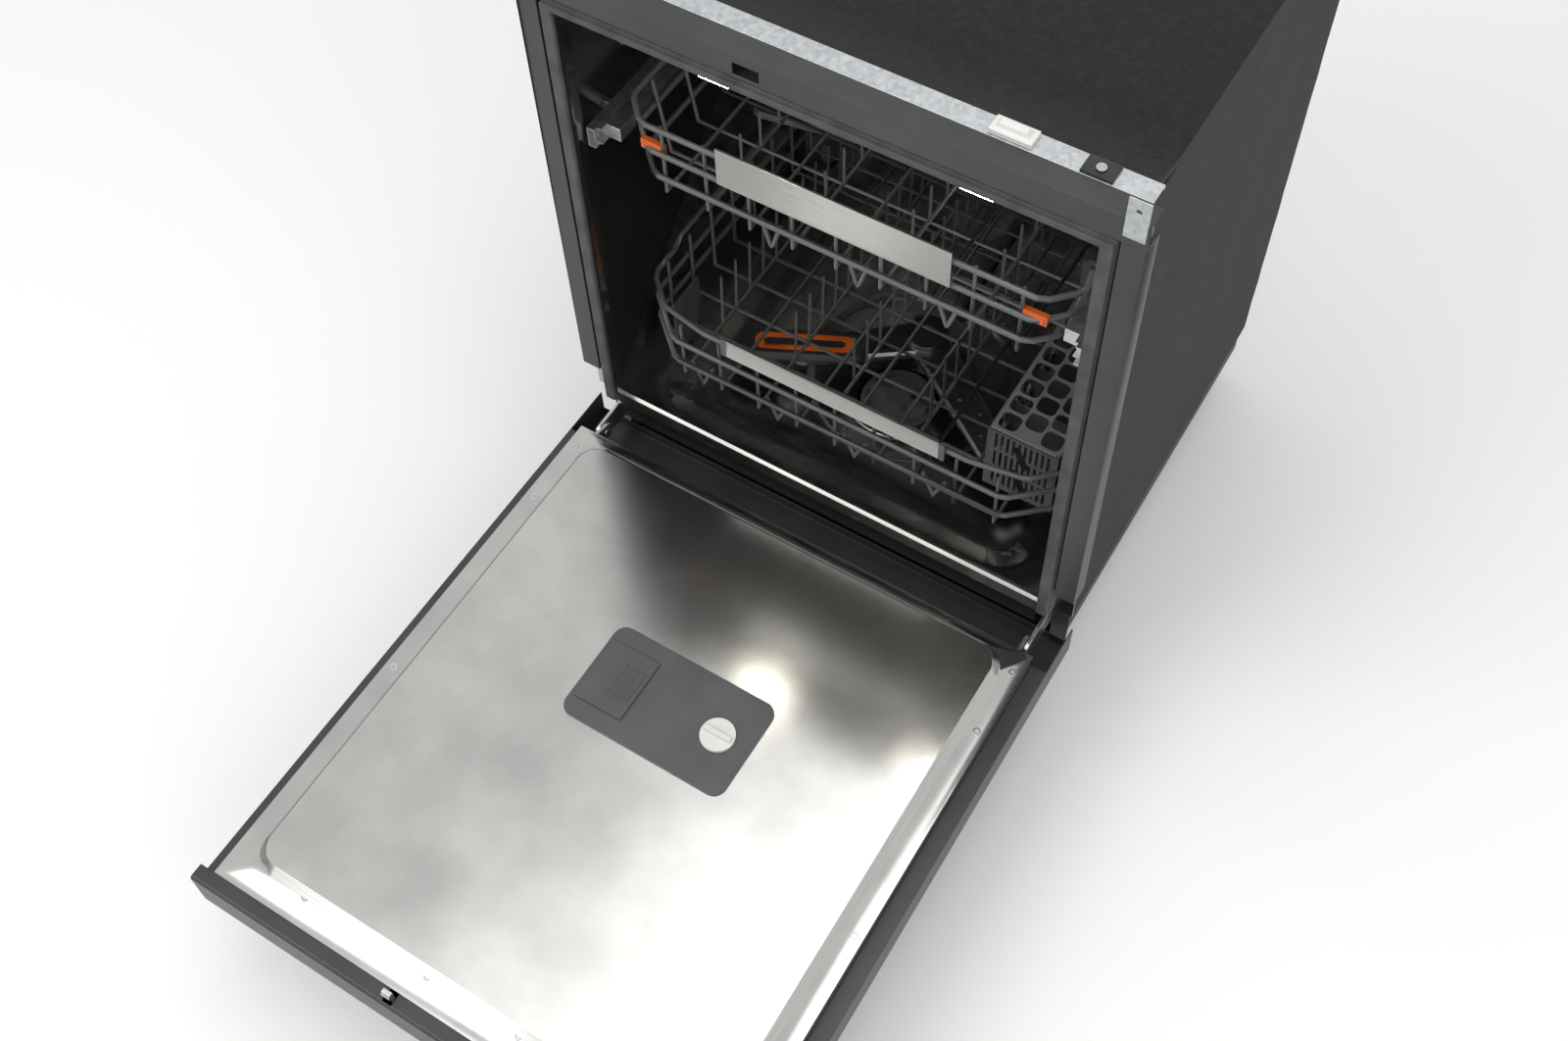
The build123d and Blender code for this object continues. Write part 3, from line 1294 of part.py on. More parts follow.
def make_filter():
    """The filter cup with its grip, the screen round it and the pipe up the back wall."""
    cup_bottom = (well_z + dish_z - well_depth) / 2 + running_gap
    cup = drum(0, well_y, cup_bottom, cup_bottom + well_depth, filter_radius)
    cup -= drum(0, well_y, dish_z - filter_recess, dish_z + filter_recess, filter_radius - filter_wall)
    grip_low = dish_z - filter_recess
    cup += block(
        -filter_grip_length / 2, filter_grip_length / 2, well_y - filter_grip_width / 2,
        well_y + filter_grip_width / 2, grip_low, dish_z + filter_grip_height,
    )
    cup += drum(0, well_y, grip_low, dish_z + filter_grip_height, filter_hub_radius)
    add("filter_cup", cup)

    screen = drum(0, well_y + screen_offset, dish_z, dish_z + screen_thickness, screen_radius)
    screen -= drum(0, well_y, dish_z - 1, dish_z + 3, well_radius)
    screen -= drum(0, arm_y, dish_z - 1, dish_z + 3, riser_radius + 0.5)
    add("filter_plate", screen)

    low = basin_z + riser_pipe_radius + touch_gap
    pipe = tube(
        [(0, arm_y + riser_pipe_start, low), (0, riser_pipe_y - riser_pipe_slope_y, low),
         (0, riser_pipe_y, low + riser_pipe_slope_z), (0, riser_pipe_y, feed_z + riser_pipe_top)],
        feed_bend, (1, 0, 0), riser_pipe_radius,
    )
    neck = rod(
        (0, riser_pipe_y, feed_z), (0, feed_joint_y + running_gap, feed_z), feed_neck_radius
    )
    riser = max(pipe, key=lambda part: part.bounding_box().size.Z)
    add("feed_pipe", *[part for part in pipe if part is not riser], riser + neck)


make_tub()
make_frame()
make_blankets()
make_base()
make_pumps()
make_door()
make_dispenser()
make_lower_rims()
make_lower_wires()
make_lower_fittings()
make_cutlery_basket()
make_upper_rack()
make_slides()
make_cup_shelves()
make_lower_arm()
make_upper_arm()
make_filter()

os.makedirs("parts", exist_ok=True)
for name, shape in pieces.items():
    export_step(shape, f"parts/{name}.step")
print(len(pieces), "nodes written")
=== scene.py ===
import json
from math import pi, radians

import bpy
from mathutils import Matrix, Vector

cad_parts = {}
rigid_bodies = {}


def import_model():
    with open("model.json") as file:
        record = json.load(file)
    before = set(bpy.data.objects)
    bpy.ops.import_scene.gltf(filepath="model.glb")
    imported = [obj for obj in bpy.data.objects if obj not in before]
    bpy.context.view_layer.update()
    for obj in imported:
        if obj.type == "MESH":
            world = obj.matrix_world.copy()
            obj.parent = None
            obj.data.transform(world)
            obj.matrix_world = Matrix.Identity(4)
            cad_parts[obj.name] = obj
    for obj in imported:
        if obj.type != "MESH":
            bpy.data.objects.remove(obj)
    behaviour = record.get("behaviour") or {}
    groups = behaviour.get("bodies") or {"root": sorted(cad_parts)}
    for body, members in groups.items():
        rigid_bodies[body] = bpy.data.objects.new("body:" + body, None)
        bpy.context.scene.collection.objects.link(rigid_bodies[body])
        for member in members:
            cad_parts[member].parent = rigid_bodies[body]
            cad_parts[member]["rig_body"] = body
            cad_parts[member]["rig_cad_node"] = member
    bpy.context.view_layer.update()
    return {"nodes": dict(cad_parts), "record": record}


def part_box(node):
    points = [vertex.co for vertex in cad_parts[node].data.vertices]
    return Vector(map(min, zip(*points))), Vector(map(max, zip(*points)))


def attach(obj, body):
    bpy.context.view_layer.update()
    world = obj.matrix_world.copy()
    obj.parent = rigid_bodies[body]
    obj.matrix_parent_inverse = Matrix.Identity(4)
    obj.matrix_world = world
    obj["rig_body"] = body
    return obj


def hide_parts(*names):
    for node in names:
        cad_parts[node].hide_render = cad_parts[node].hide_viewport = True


# A built-in dishwasher with its door open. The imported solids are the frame. Each one gets a
# finished copy, merged and softened along its edges, and the real machine's small pieces are
# added round them. Metres; X to the right, +Y into the cabinet, +Z up.

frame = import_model()
MM = 0.001
TO_BODY = {node: body for body, nodes in frame["record"]["behaviour"]["bodies"].items() for node in nodes}
TO_SLOT = {row["node"]: row["material_slot"] for row in frame["record"]["subparts"]}
# Degrees: two faces that meet at less than this are shaded as one.
SMOOTH, WIRE_SMOOTH, FELT_SMOOTH, ROD_SMOOTH = 35.0, 65.0, 60.0, 80.0


# ---------------------------------------------------------------- colours and node helper
def linear(hex_colour):
    """The linear colour of an sRGB hex value."""
    parts = [int(hex_colour[k : k + 2], 16) / 255 for k in (1, 3, 5)]
    return [c / 12.92 if c <= 0.04045 else ((c + 0.055) / 1.055) ** 2.4 for c in parts] + [1.0]


def add(tree, kind, settings=None, **inputs):
    """Adds a node, sets its settings and fills its inputs with values or with other nodes' outputs.
    An input is given by its name, with _ for a space, or by i and its number."""
    made = tree.nodes.new(kind)
    for key, value in (settings or {}).items():
        setattr(made, key, value)
    for key, value in inputs.items():
        wanted = key.replace("_", " ")
        socket = made.inputs[int(key[1:])] if key[1:].isdigit() else made.inputs[wanted]
        if isinstance(value, bpy.types.NodeSocket):
            tree.links.new(value, socket)
        else:
            socket.default_value = value
    return made


def new_material(name):
    """An empty material: its node tree, and its shader."""
    material = bpy.data.materials.new(name)
    material.use_nodes = True
    return material, material.node_tree, material.node_tree.nodes["Principled BSDF"]


def set_inputs(shader, **values):
    """Sets sockets of the shader by their names, with _ for a space."""
    for key, value in values.items():
        shader.inputs[key.replace("_", " ")].default_value = value


def ramp(tree, source, low, high, start="#000000", end="#ffffff"):
    """A two-stop colour ramp over a source."""
    made = add(tree, "ShaderNodeValToRGB", Fac=source)
    made.color_ramp.elements[0].position = low
    made.color_ramp.elements[0].color = linear(start)
    made.color_ramp.elements[1].position = high
    made.color_ramp.elements[1].color = linear(end)
    return made.outputs["Color"]


# ---------------------------------------------------------------- materials
def stainless_tub():
    """Bright-rolled 430 stainless: a near mirror with faint rolling lines and soft drifts of gloss."""
    material, tree, shader = new_material("bright_rolled_stainless")
    place = add(tree, "ShaderNodeTexCoord").outputs["Object"]
    lines = add(tree, "ShaderNodeMapping", Vector=place, Scale=(6.0, 6.0, 900.0)).outputs["Vector"]
    rolled = add(tree, "ShaderNodeTexNoise", Vector=lines, Scale=2.0, Detail=3.0).outputs["Fac"]
    drift = add(tree, "ShaderNodeTexNoise", Vector=place, Scale=7.0, Detail=2.0).outputs["Fac"]
    gloss = add(tree, "ShaderNodeMapRange", Value=drift, i3=0.16, i4=0.22).outputs["Result"]
    tree.links.new(gloss, shader.inputs["Roughness"])
    colour = ramp(tree, rolled, 0.3, 0.7, "#a9a9a7", "#bdbdba")
    tree.links.new(colour, shader.inputs["Base Color"])
    dents = add(tree, "ShaderNodeTexNoise", Vector=place, Scale=9.0, Detail=1.0).outputs["Fac"]
    bump = add(tree, "ShaderNodeBump", Strength=0.04, Distance=0.004, Height=dents).outputs["Normal"]
    tree.links.new(bump, shader.inputs["Normal"])
    set_inputs(shader, Metallic=1.0)
    return material


def brushed_stainless():
    """Brushed 304 strip: grain along X, 0.3 mm apart, which smears the highlights."""
    material, tree, shader = new_material("brushed_stainless_strip")
    place = add(tree, "ShaderNodeTexCoord").outputs["Object"]
    grain = add(tree, "ShaderNodeMapping", Vector=place, Scale=(12.0, 900.0, 900.0)).outputs["Vector"]
    noise = add(tree, "ShaderNodeTexNoise", Vector=grain, Scale=3.0, Detail=4.0).outputs["Fac"]
    tree.links.new(ramp(tree, noise, 0.3, 0.7, "#8b8b89", "#b2b2af"), shader.inputs["Base Color"])
    rough = add(tree, "ShaderNodeMapRange", Value=noise, i3=0.26, i4=0.42).outputs["Result"]
    tree.links.new(rough, shader.inputs["Roughness"])
    set_inputs(shader, Metallic=1.0)
    return material


def pressed_arm_steel():
    """Pressed stainless of the lower arm: grey, satin, with water marks a few millimetres across."""
    material, tree, shader = new_material("pressed_stainless_arm")
    place = add(tree, "ShaderNodeTexCoord").outputs["Object"]
    marks = add(tree, "ShaderNodeTexNoise", Vector=place, Scale=220.0, Detail=4.0).outputs["Fac"]
    tree.links.new(ramp(tree, marks, 0.35, 0.75, "#77787a", "#8c8d8f"), shader.inputs["Base Color"])
    rough = add(tree, "ShaderNodeMapRange", Value=marks, i3=0.24, i4=0.38).outputs["Result"]
    tree.links.new(rough, shader.inputs["Roughness"])
    set_inputs(shader, Metallic=1.0)
    return material


def enamelled_frame():
    """Dark grey powder enamel: satin, with a faint orange peel about 1.5 mm across."""
    material, tree, shader = new_material("dark_grey_powder_enamel")
    place = add(tree, "ShaderNodeTexCoord").outputs["Object"]
    cloud = add(tree, "ShaderNodeTexNoise", Vector=place, Scale=14.0, Detail=3.0).outputs["Fac"]
    tree.links.new(ramp(tree, cloud, 0.25, 0.8, "#242526", "#323334"), shader.inputs["Base Color"])
    peel = add(tree, "ShaderNodeTexNoise", Vector=place, Scale=650.0, Detail=1.0).outputs["Fac"]
    bump = add(tree, "ShaderNodeBump", Strength=0.12, Distance=0.0004, Height=peel).outputs["Normal"]
    tree.links.new(bump, shader.inputs["Normal"])
    set_inputs(shader, Roughness=0.42, Metallic=0.0)
    return material


def galvanised_sheet():
    """Hot-dip galvanised steel: pale grey zinc with fine spangles about 4 mm across."""
    material, tree, shader = new_material("galvanised_sheet")
    place = add(tree, "ShaderNodeTexCoord").outputs["Object"]
    spangle = add(tree, "ShaderNodeTexVoronoi", Vector=place, Scale=260.0).outputs["Color"]
    grey = add(tree, "ShaderNodeRGBToBW", Color=spangle).outputs["Val"]
    tree.links.new(ramp(tree, grey, 0.1, 0.9, "#a9acad", "#bfc2c4"), shader.inputs["Base Color"])
    rough = add(tree, "ShaderNodeMapRange", Value=grey, i3=0.38, i4=0.5).outputs["Result"]
    tree.links.new(rough, shader.inputs["Roughness"])
    set_inputs(shader, Metallic=1.0)
    return material


def zinc_plate():
    """Bright zinc plating on pressed steel: a soft shine with small stains."""
    material, tree, shader = new_material("zinc_plated_steel")
    place = add(tree, "ShaderNodeTexCoord").outputs["Object"]
    stain = add(tree, "ShaderNodeTexNoise", Vector=place, Scale=60.0, Detail=4.0).outputs["Fac"]
    tree.links.new(ramp(tree, stain, 0.3, 0.75, "#a5a7a8", "#c4c6c8"), shader.inputs["Base Color"])
    rough = add(tree, "ShaderNodeMapRange", Value=stain, i3=0.25, i4=0.42).outputs["Result"]
    tree.links.new(rough, shader.inputs["Roughness"])
    set_inputs(shader, Metallic=1.0)
    return material


def black_felt():
    """Needled bitumen-backed felt: black fibres in every direction, clumps a few millimetres across."""
    material, tree, shader = new_material("black_needle_felt")
    place = add(tree, "ShaderNodeTexCoord").outputs["Object"]
    clumps = add(tree, "ShaderNodeTexNoise", Vector=place, Scale=120.0, Detail=8.0, Roughness=0.75)
    fibres = add(tree, "ShaderNodeTexNoise", Vector=place, Scale=900.0, Detail=4.0, Distortion=2.0)
    mixed = add(
        tree, "ShaderNodeMath", {"operation": "MULTIPLY_ADD"},
        i0=fibres.outputs["Fac"], i1=0.5, i2=clumps.outputs["Fac"],
    ).outputs["Value"]
    tree.links.new(ramp(tree, mixed, 0.5, 1.15, "#060607", "#242426"), shader.inputs["Base Color"])
    bump = add(tree, "ShaderNodeBump", Strength=0.8, Distance=0.0012, Height=mixed).outputs["Normal"]
    tree.links.new(bump, shader.inputs["Normal"])
    set_inputs(shader, Roughness=0.96, Sheen_Weight=0.1, Sheen_Roughness=0.6, Specular_IOR_Level=0.12)
    return material


def moulded(name, dark, pale, roughness, texture=700.0, strength=0.1):
    """Injection-moulded plastic: near-even colour, with the mould's fine spark texture."""
    material, tree, shader = new_material(name)
    place = add(tree, "ShaderNodeTexCoord").outputs["Object"]
    cloud = add(tree, "ShaderNodeTexNoise", Vector=place, Scale=22.0, Detail=3.0).outputs["Fac"]
    tree.links.new(ramp(tree, cloud, 0.25, 0.8, dark, pale), shader.inputs["Base Color"])
    spark = add(tree, "ShaderNodeTexNoise", Vector=place, Scale=texture, Detail=2.0).outputs["Fac"]
    bump = add(tree, "ShaderNodeBump", Strength=strength, Distance=0.0004, Height=spark).outputs["Normal"]
    tree.links.new(bump, shader.inputs["Normal"])
    set_inputs(shader, Roughness=roughness)
    return material


def seal_rubber():
    """EPDM rubber, dark grey and dull, with a film of pale dust."""
    material, tree, shader = new_material("epdm_rubber_seal")
    place = add(tree, "ShaderNodeTexCoord").outputs["Object"]
    dust = add(tree, "ShaderNodeTexNoise", Vector=place, Scale=40.0, Detail=5.0).outputs["Fac"]
    tree.links.new(ramp(tree, dust, 0.3, 0.8, "#3a3c3e", "#55585a"), shader.inputs["Base Color"])
    set_inputs(shader, Roughness=0.62, Specular_IOR_Level=0.35)
    return material


def lamp_lens():
    """A milky polycarbonate lens lit from behind by a warm white diode."""
    material, tree, shader = new_material("lit_lamp_lens")
    place = add(tree, "ShaderNodeTexCoord").outputs["Object"]
    glow = add(tree, "ShaderNodeTexNoise", Vector=place, Scale=80.0).outputs["Fac"]
    tree.links.new(ramp(tree, glow, 0.2, 0.8, "#fff2d8", "#ffffff"), shader.inputs["Emission Color"])
    set_inputs(shader, Base_Color=linear("#fff6e6"), Emission_Strength=90.0, Roughness=0.3)
    return material


MATERIALS = {
    "polished_steel": stainless_tub(),
    "handle_steel": brushed_stainless(),
    "frame_grey": enamelled_frame(),
    "galvanised": galvanised_sheet(),
    "zinc": zinc_plate(),
    "felt": black_felt(),
    # carbon-filled polypropylene of the base: black, slightly greasy shine
    "base_black": moulded("black_polypropylene", "#0f0f10", "#1b1b1c", 0.5),
    "seal_grey": seal_rubber(),
    # polyamide powder melted on to steel wire: soft grey, rounded, half gloss
    "wire_grey": moulded("grey_polyamide_coating", "#4c4e50", "#5b5d5f", 0.36, 260.0, 0.06),
    # glass-filled polypropylene of basket, arms and wheels
    "moulded_grey": moulded("grey_polypropylene", "#404244", "#4e5052", 0.42),
    "dark_plastic": moulded("dark_grey_abs", "#232527", "#303335", 0.4),
    "pale_plastic": moulded("pale_grey_abs", "#cfcfca", "#dededa", 0.35),
    "orange_plastic": moulded("orange_polypropylene", "#c9521a", "#dd6a24", 0.36),
    "lamp": lamp_lens(),
    # finishes that differ from the slot their pieces are in
    "lid_grey": moulded("pale_grey_polypropylene", "#6a6c6e", "#7a7c7e", 0.4),
    "arm_steel": pressed_arm_steel(),
}


# ---------------------------------------------------------------- finished copies of the solids
def only(obj):
    """Makes one object the selected and active one."""
    bpy.ops.object.select_all(action="DESELECT")
    obj.select_set(True)
    bpy.context.view_layer.objects.active = obj


def modify(obj, kind, **settings):
    """Adds a modifier with its settings and applies it."""
    only(obj)
    modifier = obj.modifiers.new(kind.lower(), kind)
    for key, value in settings.items():
        setattr(modifier, key, value)
    bpy.ops.object.modifier_apply(modifier=modifier.name)


# Faces with a hole through them keep their triangles: one outline can't go round a hole.
RINGS = {
    "front_frame", "door_gasket", "tub_back", "door_console", "door_outer_panel",
    "dispenser_body", "rinse_aid_cap",
}


def even_shading(obj, smooth, bevelled):
    """Smooth shading up to an angle; on bevelled pieces the flat faces lead, so they stay flat."""
    only(obj)
    bpy.ops.object.shade_smooth_by_angle(angle=radians(smooth))
    if bevelled:
        modify(obj, "WEIGHTED_NORMAL", keep_sharp=True)


def soften(obj, radius):
    """Rounds the edges of a piece by a radius in millimetres."""
    modify(
        obj, "BEVEL", width=radius * MM, segments=2, limit_method="ANGLE",
        angle_limit=radians(40), use_clamp_overlap=True,
    )


def corners(node):
    """The low and the high corner of a node's box, in millimetres."""
    return ([v / MM for v in corner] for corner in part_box(node))


def finish_node(node, bevel=0.0, smooth=SMOOTH):
    """A merged copy of a solid, with its edges softened by a real radius in millimetres."""
    source = frame["nodes"][node]
    copy = source.copy()
    copy.data = source.data.copy()
    copy.name = node + "_finish"
    bpy.context.scene.collection.objects.link(copy)
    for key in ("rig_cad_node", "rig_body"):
        if key in copy:
            del copy[key]
    copy.parent = None
    copy.matrix_world = Matrix.Identity(4)
    only(copy)
    bpy.ops.object.mode_set(mode="EDIT")
    bpy.ops.mesh.select_all(action="SELECT")
    bpy.ops.mesh.remove_doubles(threshold=0.004 * MM)
    if node not in RINGS:
        bpy.ops.mesh.dissolve_limited(angle_limit=radians(0.5))
    bpy.ops.object.mode_set(mode="OBJECT")
    if bevel:
        soften(copy, bevel)
    even_shading(copy, smooth, bevel)
    copy.data.materials.clear()
    copy.data.materials.append(MATERIALS[TO_SLOT[node]])
    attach(copy, TO_BODY[node])
    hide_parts(node)
    return copy


# Radii of the real edges in millimetres: folded sheet is small, mouldings are larger.
EDGE_RADII = {
    "front_frame": 0.8, "top_crossbar": 0.4, "side_plates": 0.4, "worktop_brackets": 0.4,
    "door_outer_panel": 0.6, "door_console": 0.8, "door_gasket": 1.8, "kick_plate": 0.6,
    "base_tray": 1.0, "dispenser_body": 1.0, "dispenser_lid": 0.5, "rinse_aid_cap": 0.8,
    "filter_cup": 1.0, "lower_spray_arm": 1.2, "upper_spray_arm": 1.0, "satellite_arm": 1.0,
    "rack_slides": 0.8, "middle_rail_left": 0.3, "middle_rail_right": 0.3,
    "fixed_rails": 0.3, "power_button": 0.8, "start_button": 0.8, "door_latch": 0.4,
    "foot_left": 1.0, "foot_right": 1.0, "foot_rear": 1.0, "cup_shelf_left": 0.6,
    "cup_shelf_right": 0.6, "hinge_brackets": 0.5, "hinge_arms": 0.5, "tub_back": 0.8,
}
# These get their finished piece from a function of their own, further down.
REBUILT = {
    "felt_blankets", "cutlery_basket", "lower_spray_arm", "satellite_insert",
    "basket_lid_front", "basket_lid_rear", "lower_rack_handle", "upper_rack_handle",
}

for node in frame["nodes"]:
    wires = "wires" in node or "rims" in node or "tines" in node
    if node not in REBUILT:
        finish_node(node, EDGE_RADII.get(node, 0.0), WIRE_SMOOTH if wires else SMOOTH)


# ---------------------------------------------------------------- pieces made here
def primitive(kind, name, **settings):
    """One new primitive, alone in the selection."""
    bpy.ops.object.select_all(action="DESELECT")
    getattr(bpy.ops.mesh, "primitive_" + kind + "_add")(**settings)
    bpy.context.object.name = name
    return bpy.context.object


def slab(name, low, high):
    """A cube drawn out between two corners in millimetres, its size put into its mesh."""
    middle = [(a + b) / 2 * MM for a, b in zip(low, high)]
    obj = primitive("cube", name, size=1.0, location=middle)
    obj.scale = [(b - a) * MM for a, b in zip(low, high)]
    bpy.ops.object.transform_apply(location=True, rotation=True, scale=True)
    return obj


def pick_faces(obj, wanted):
    """Goes into edit mode with only the faces that pass a test selected."""
    only(obj)
    bpy.ops.object.mode_set(mode="EDIT")
    bpy.ops.mesh.select_all(action="DESELECT")
    bpy.ops.mesh.select_mode(type="FACE")
    bpy.ops.object.mode_set(mode="OBJECT")
    for face in obj.data.polygons:
        face.select = wanted(face)
    bpy.ops.object.mode_set(mode="EDIT")


def settle(obj, body, slot, material=None, bevel=0.0, smooth=SMOOTH):
    """Puts a new piece's place into its mesh, softens and shades it, and hands it to its body."""
    only(obj)
    bpy.ops.object.transform_apply(location=True, rotation=True, scale=True)
    if bevel:
        soften(obj, bevel)
    even_shading(obj, smooth, bevel)
    obj.data.materials.clear()
    obj.data.materials.append(material or MATERIALS[slot])
    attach(obj, body)


def copied(obj, name):
    """A copy of a piece with its own mesh."""
    other = obj.copy()
    other.data = obj.data.copy()
    other.name = name
    bpy.context.scene.collection.objects.link(other)
    return other


def felt_mat(name, low, high):
    """One felt mat: a slab with every edge cut into 31, so that it can pucker."""
    mat = slab(name, low, high)
    only(mat)
    bpy.ops.object.mode_set(mode="EDIT")
    bpy.ops.mesh.select_all(action="SELECT")
    bpy.ops.mesh.subdivide(number_cuts=30)
    bpy.ops.object.mode_set(mode="OBJECT")
    return mat


def felt_jacket():
    """The felt jacket: thick needled mats on both sides and over the roof, puckered, with a
    front edge that curls up to the crossbar."""
    thick, slack = 10.0, 2.0  # slack leaves room for the puckers inside the solid's box
    lift, run, setback = 15.0, 70.0, 14.0  # the curl: its height, its length, and where it starts
    low, high = corners("felt_blankets")
    roof, inner = high[2] - lift - thick, high[0] - thick
    rear = high[1] - slack
    mats = [
        felt_mat(
            "felt_roof", (low[0] + slack, low[1] + setback + slack, roof),
            (high[0] - slack, rear, roof + thick - slack),
        ),
        felt_mat("felt_right", (inner, low[1] + slack, low[2] + slack), (high[0] - slack, rear, roof)),
        felt_mat("felt_left", (low[0] + slack, low[1] + slack, low[2] + slack), (-inner, rear, roof)),
    ]
    for vertex in mats[0].data.vertices:
        rise = max(0.0, 1.0 - (vertex.co.y / MM - low[1] - setback) / run)
        vertex.co.z += lift * MM * rise ** 2
    bpy.ops.object.select_all(action="DESELECT")
    for mat in mats:
        mat.select_set(True)
    bpy.context.view_layer.objects.active = mats[0]
    bpy.ops.object.join()
    jacket = mats[0]
    for scale, strength in ((0.11, 3.2), (0.035, 1.3)):  # long waves, then small lumps
        lumps = bpy.data.textures.new("felt_lumps", "CLOUDS")
        lumps.noise_scale = scale
        modify(
            jacket, "DISPLACE", texture=lumps, texture_coords="LOCAL", direction="NORMAL",
            strength=strength * MM, mid_level=0.5,
        )
    settle(jacket, "machine", "felt", smooth=FELT_SMOOTH)
    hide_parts("felt_blankets")


def handle_strip(node, body):
    """A stainless strip whose front and back are pressed in, which leaves a raised border."""
    border, sink = 3.0, 0.9
    strip = slab(node + "_strip", *corners(node))
    pick_faces(strip, lambda face: abs(face.normal.y) > 0.9)
    bpy.ops.mesh.inset(thickness=border * MM, use_individual=True)
    bpy.ops.transform.shrink_fatten(value=-sink * MM)
    bpy.ops.object.mode_set(mode="OBJECT")
    settle(strip, body, "handle_steel", bevel=0.8)
    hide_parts(node)


def rounded_cutter(name, width, length, depth, corner):
    """A rounded bar that stands along Z, for cutting one opening."""
    cutter = slab(name, (-width / 2, -length / 2, -depth / 2), (width / 2, length / 2, depth / 2))
    only(cutter)
    bpy.ops.object.mode_set(mode="EDIT")
    bpy.ops.mesh.select_all(action="DESELECT")
    bpy.ops.mesh.select_mode(type="EDGE")
    bpy.ops.object.mode_set(mode="OBJECT")
    points = cutter.data.vertices
    for line in cutter.data.edges:
        first, second = (points[k].co for k in line.vertices)
        line.select = abs(first.z - second.z) > 0.1 * MM
    bpy.ops.object.mode_set(mode="EDIT")
    bpy.ops.mesh.bevel(offset=corner * MM, segments=4, affect="EDGES")
    bpy.ops.object.mode_set(mode="OBJECT")
    return cutter


def cut_openings(target, pattern, places):
    """Cuts a copy of the pattern out of the target at each place, all in one Boolean."""
    cutters = []
    for place in places:
        cutter = copied(pattern, pattern.name + "_copy")
        cutter.location = [v * MM for v in place]
        cutters.append(cutter)
    bpy.data.objects.remove(pattern)
    only(cutters[0])
    for cutter in cutters:
        cutter.select_set(True)
    if len(cutters) > 1:
        bpy.ops.object.join()
    bpy.ops.object.transform_apply(location=True, rotation=True, scale=True)
    modify(target, "BOOLEAN", object=cutters[0], operation="DIFFERENCE", solver="EXACT", use_self=True)
    bpy.data.objects.remove(cutters[0])


def basket_lid(node):
    """A lid with rows of rounded openings, every other row moved half a step."""
    low, high = corners(node)
    lid = slab(node + "_moulding", low, high)
    columns, rows, rib, through, corner = 3, 8, 2.6, 30, 6.0
    step_x = (high[0] - low[0] - 2 * rib) / columns
    step_y = (high[1] - low[1] - 2 * rib) / rows
    pattern = rounded_cutter(node + "_opening", step_x - rib, step_y - rib, through, corner)
    places = []
    for column in range(columns):
        for row in range(rows - column % 2):
            x = low[0] + rib + step_x * (column + 0.5)
            y = low[1] + rib + step_y * (row + 0.5 + 0.5 * (column % 2))
            places.append((x, y, (low[2] + high[2]) / 2))
    cut_openings(lid, pattern, places)
    settle(lid, node, "moulded_grey", MATERIALS["lid_grey"], bevel=0.5)
    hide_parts(node)


def basket_walls():
    """The basket, with close upright slits through its four long and four short walls."""
    basket = finish_node("cutlery_basket")
    low, high = corners("cutlery_basket")
    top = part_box("basket_lid_front")[0][2] / MM
    rows, gap, foot = 3, 5.0, 6.0  # three rows of slits, the bars between them, and the plain foot
    pitch, half_slit, reach = 6.4, 1.5, 3  # reach: how far a cutter goes to each side of a wall
    long_margin, short_margin, wall = 6, 8, 2
    tall = (top - low[2] - foot - rows * gap) / rows
    heights = [low[2] + foot + (tall + gap) * (row + 0.5) for row in range(rows)]
    halves = [[corner[1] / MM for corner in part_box(lid)] for lid in ("basket_lid_front", "basket_lid_rear")]

    def spread(start, end, margin):
        """Places of as many slits as fit between two ends, even about the middle."""
        count = int((end - start - margin) // pitch)
        return [(start + end) / 2 + pitch * (k - (count - 1) / 2) for k in range(count)]

    through = slab("basket_long_slit", (-reach, -half_slit, -tall / 2), (reach, half_slit, tall / 2))
    long_places = []
    for start, end in halves:
        for y in spread(start, end, long_margin):
            long_places += [(x, y, z) for x in (low[0], high[0]) for z in heights]
    cut_openings(basket, through, long_places)
    across = slab("basket_short_slit", (-half_slit, -reach, -tall / 2), (half_slit, reach, tall / 2))
    short_places = []
    for start, end in halves:
        for x in spread(low[0], high[0], short_margin):
            short_places += [(x, y, z) for y in (start - wall, end + wall) for z in heights]
    cut_openings(basket, across, short_places)
    even_shading(basket, SMOOTH, 0.0)


def lower_arm():
    """The lower arm's own steel, and the slot sunk into the satellite's insert, with a dark plate in the
    slot's bottom as painted shade.
    """
    arm = finish_node("lower_spray_arm", EDGE_RADII["lower_spray_arm"])
    arm.data.materials.clear()
    arm.data.materials.append(MATERIALS["arm_steel"])
    insert = finish_node("satellite_insert")
    low, high = corners("satellite_insert")
    middle = [(a + b) / 2 for a, b in zip(low, high)]
    sink, shade_bed_thick = 2.0, 0.3
    turn = (0, 0, radians(26))
    slot = rounded_cutter("insert_slot", 92, 11, 2 * sink, 5.4)
    slot.rotation_euler = turn
    cut_openings(insert, slot, [(middle[0], middle[1], high[2])])
    even_shading(insert, SMOOTH, 0.0)
    # Painted shade: a thin dark plastic plate in the slot's bottom stands in for the shade inside the recess.
    shade_bed = rounded_cutter("insert_slot_shade_bed", 91, 10.6, shade_bed_thick, 5.2)
    shade_bed.rotation_euler = turn
    shade_bed.location = (middle[0] * MM, middle[1] * MM, (high[2] - sink + shade_bed_thick / 2) * MM)
    settle(shade_bed, TO_BODY["satellite_insert"], "dark_plastic")


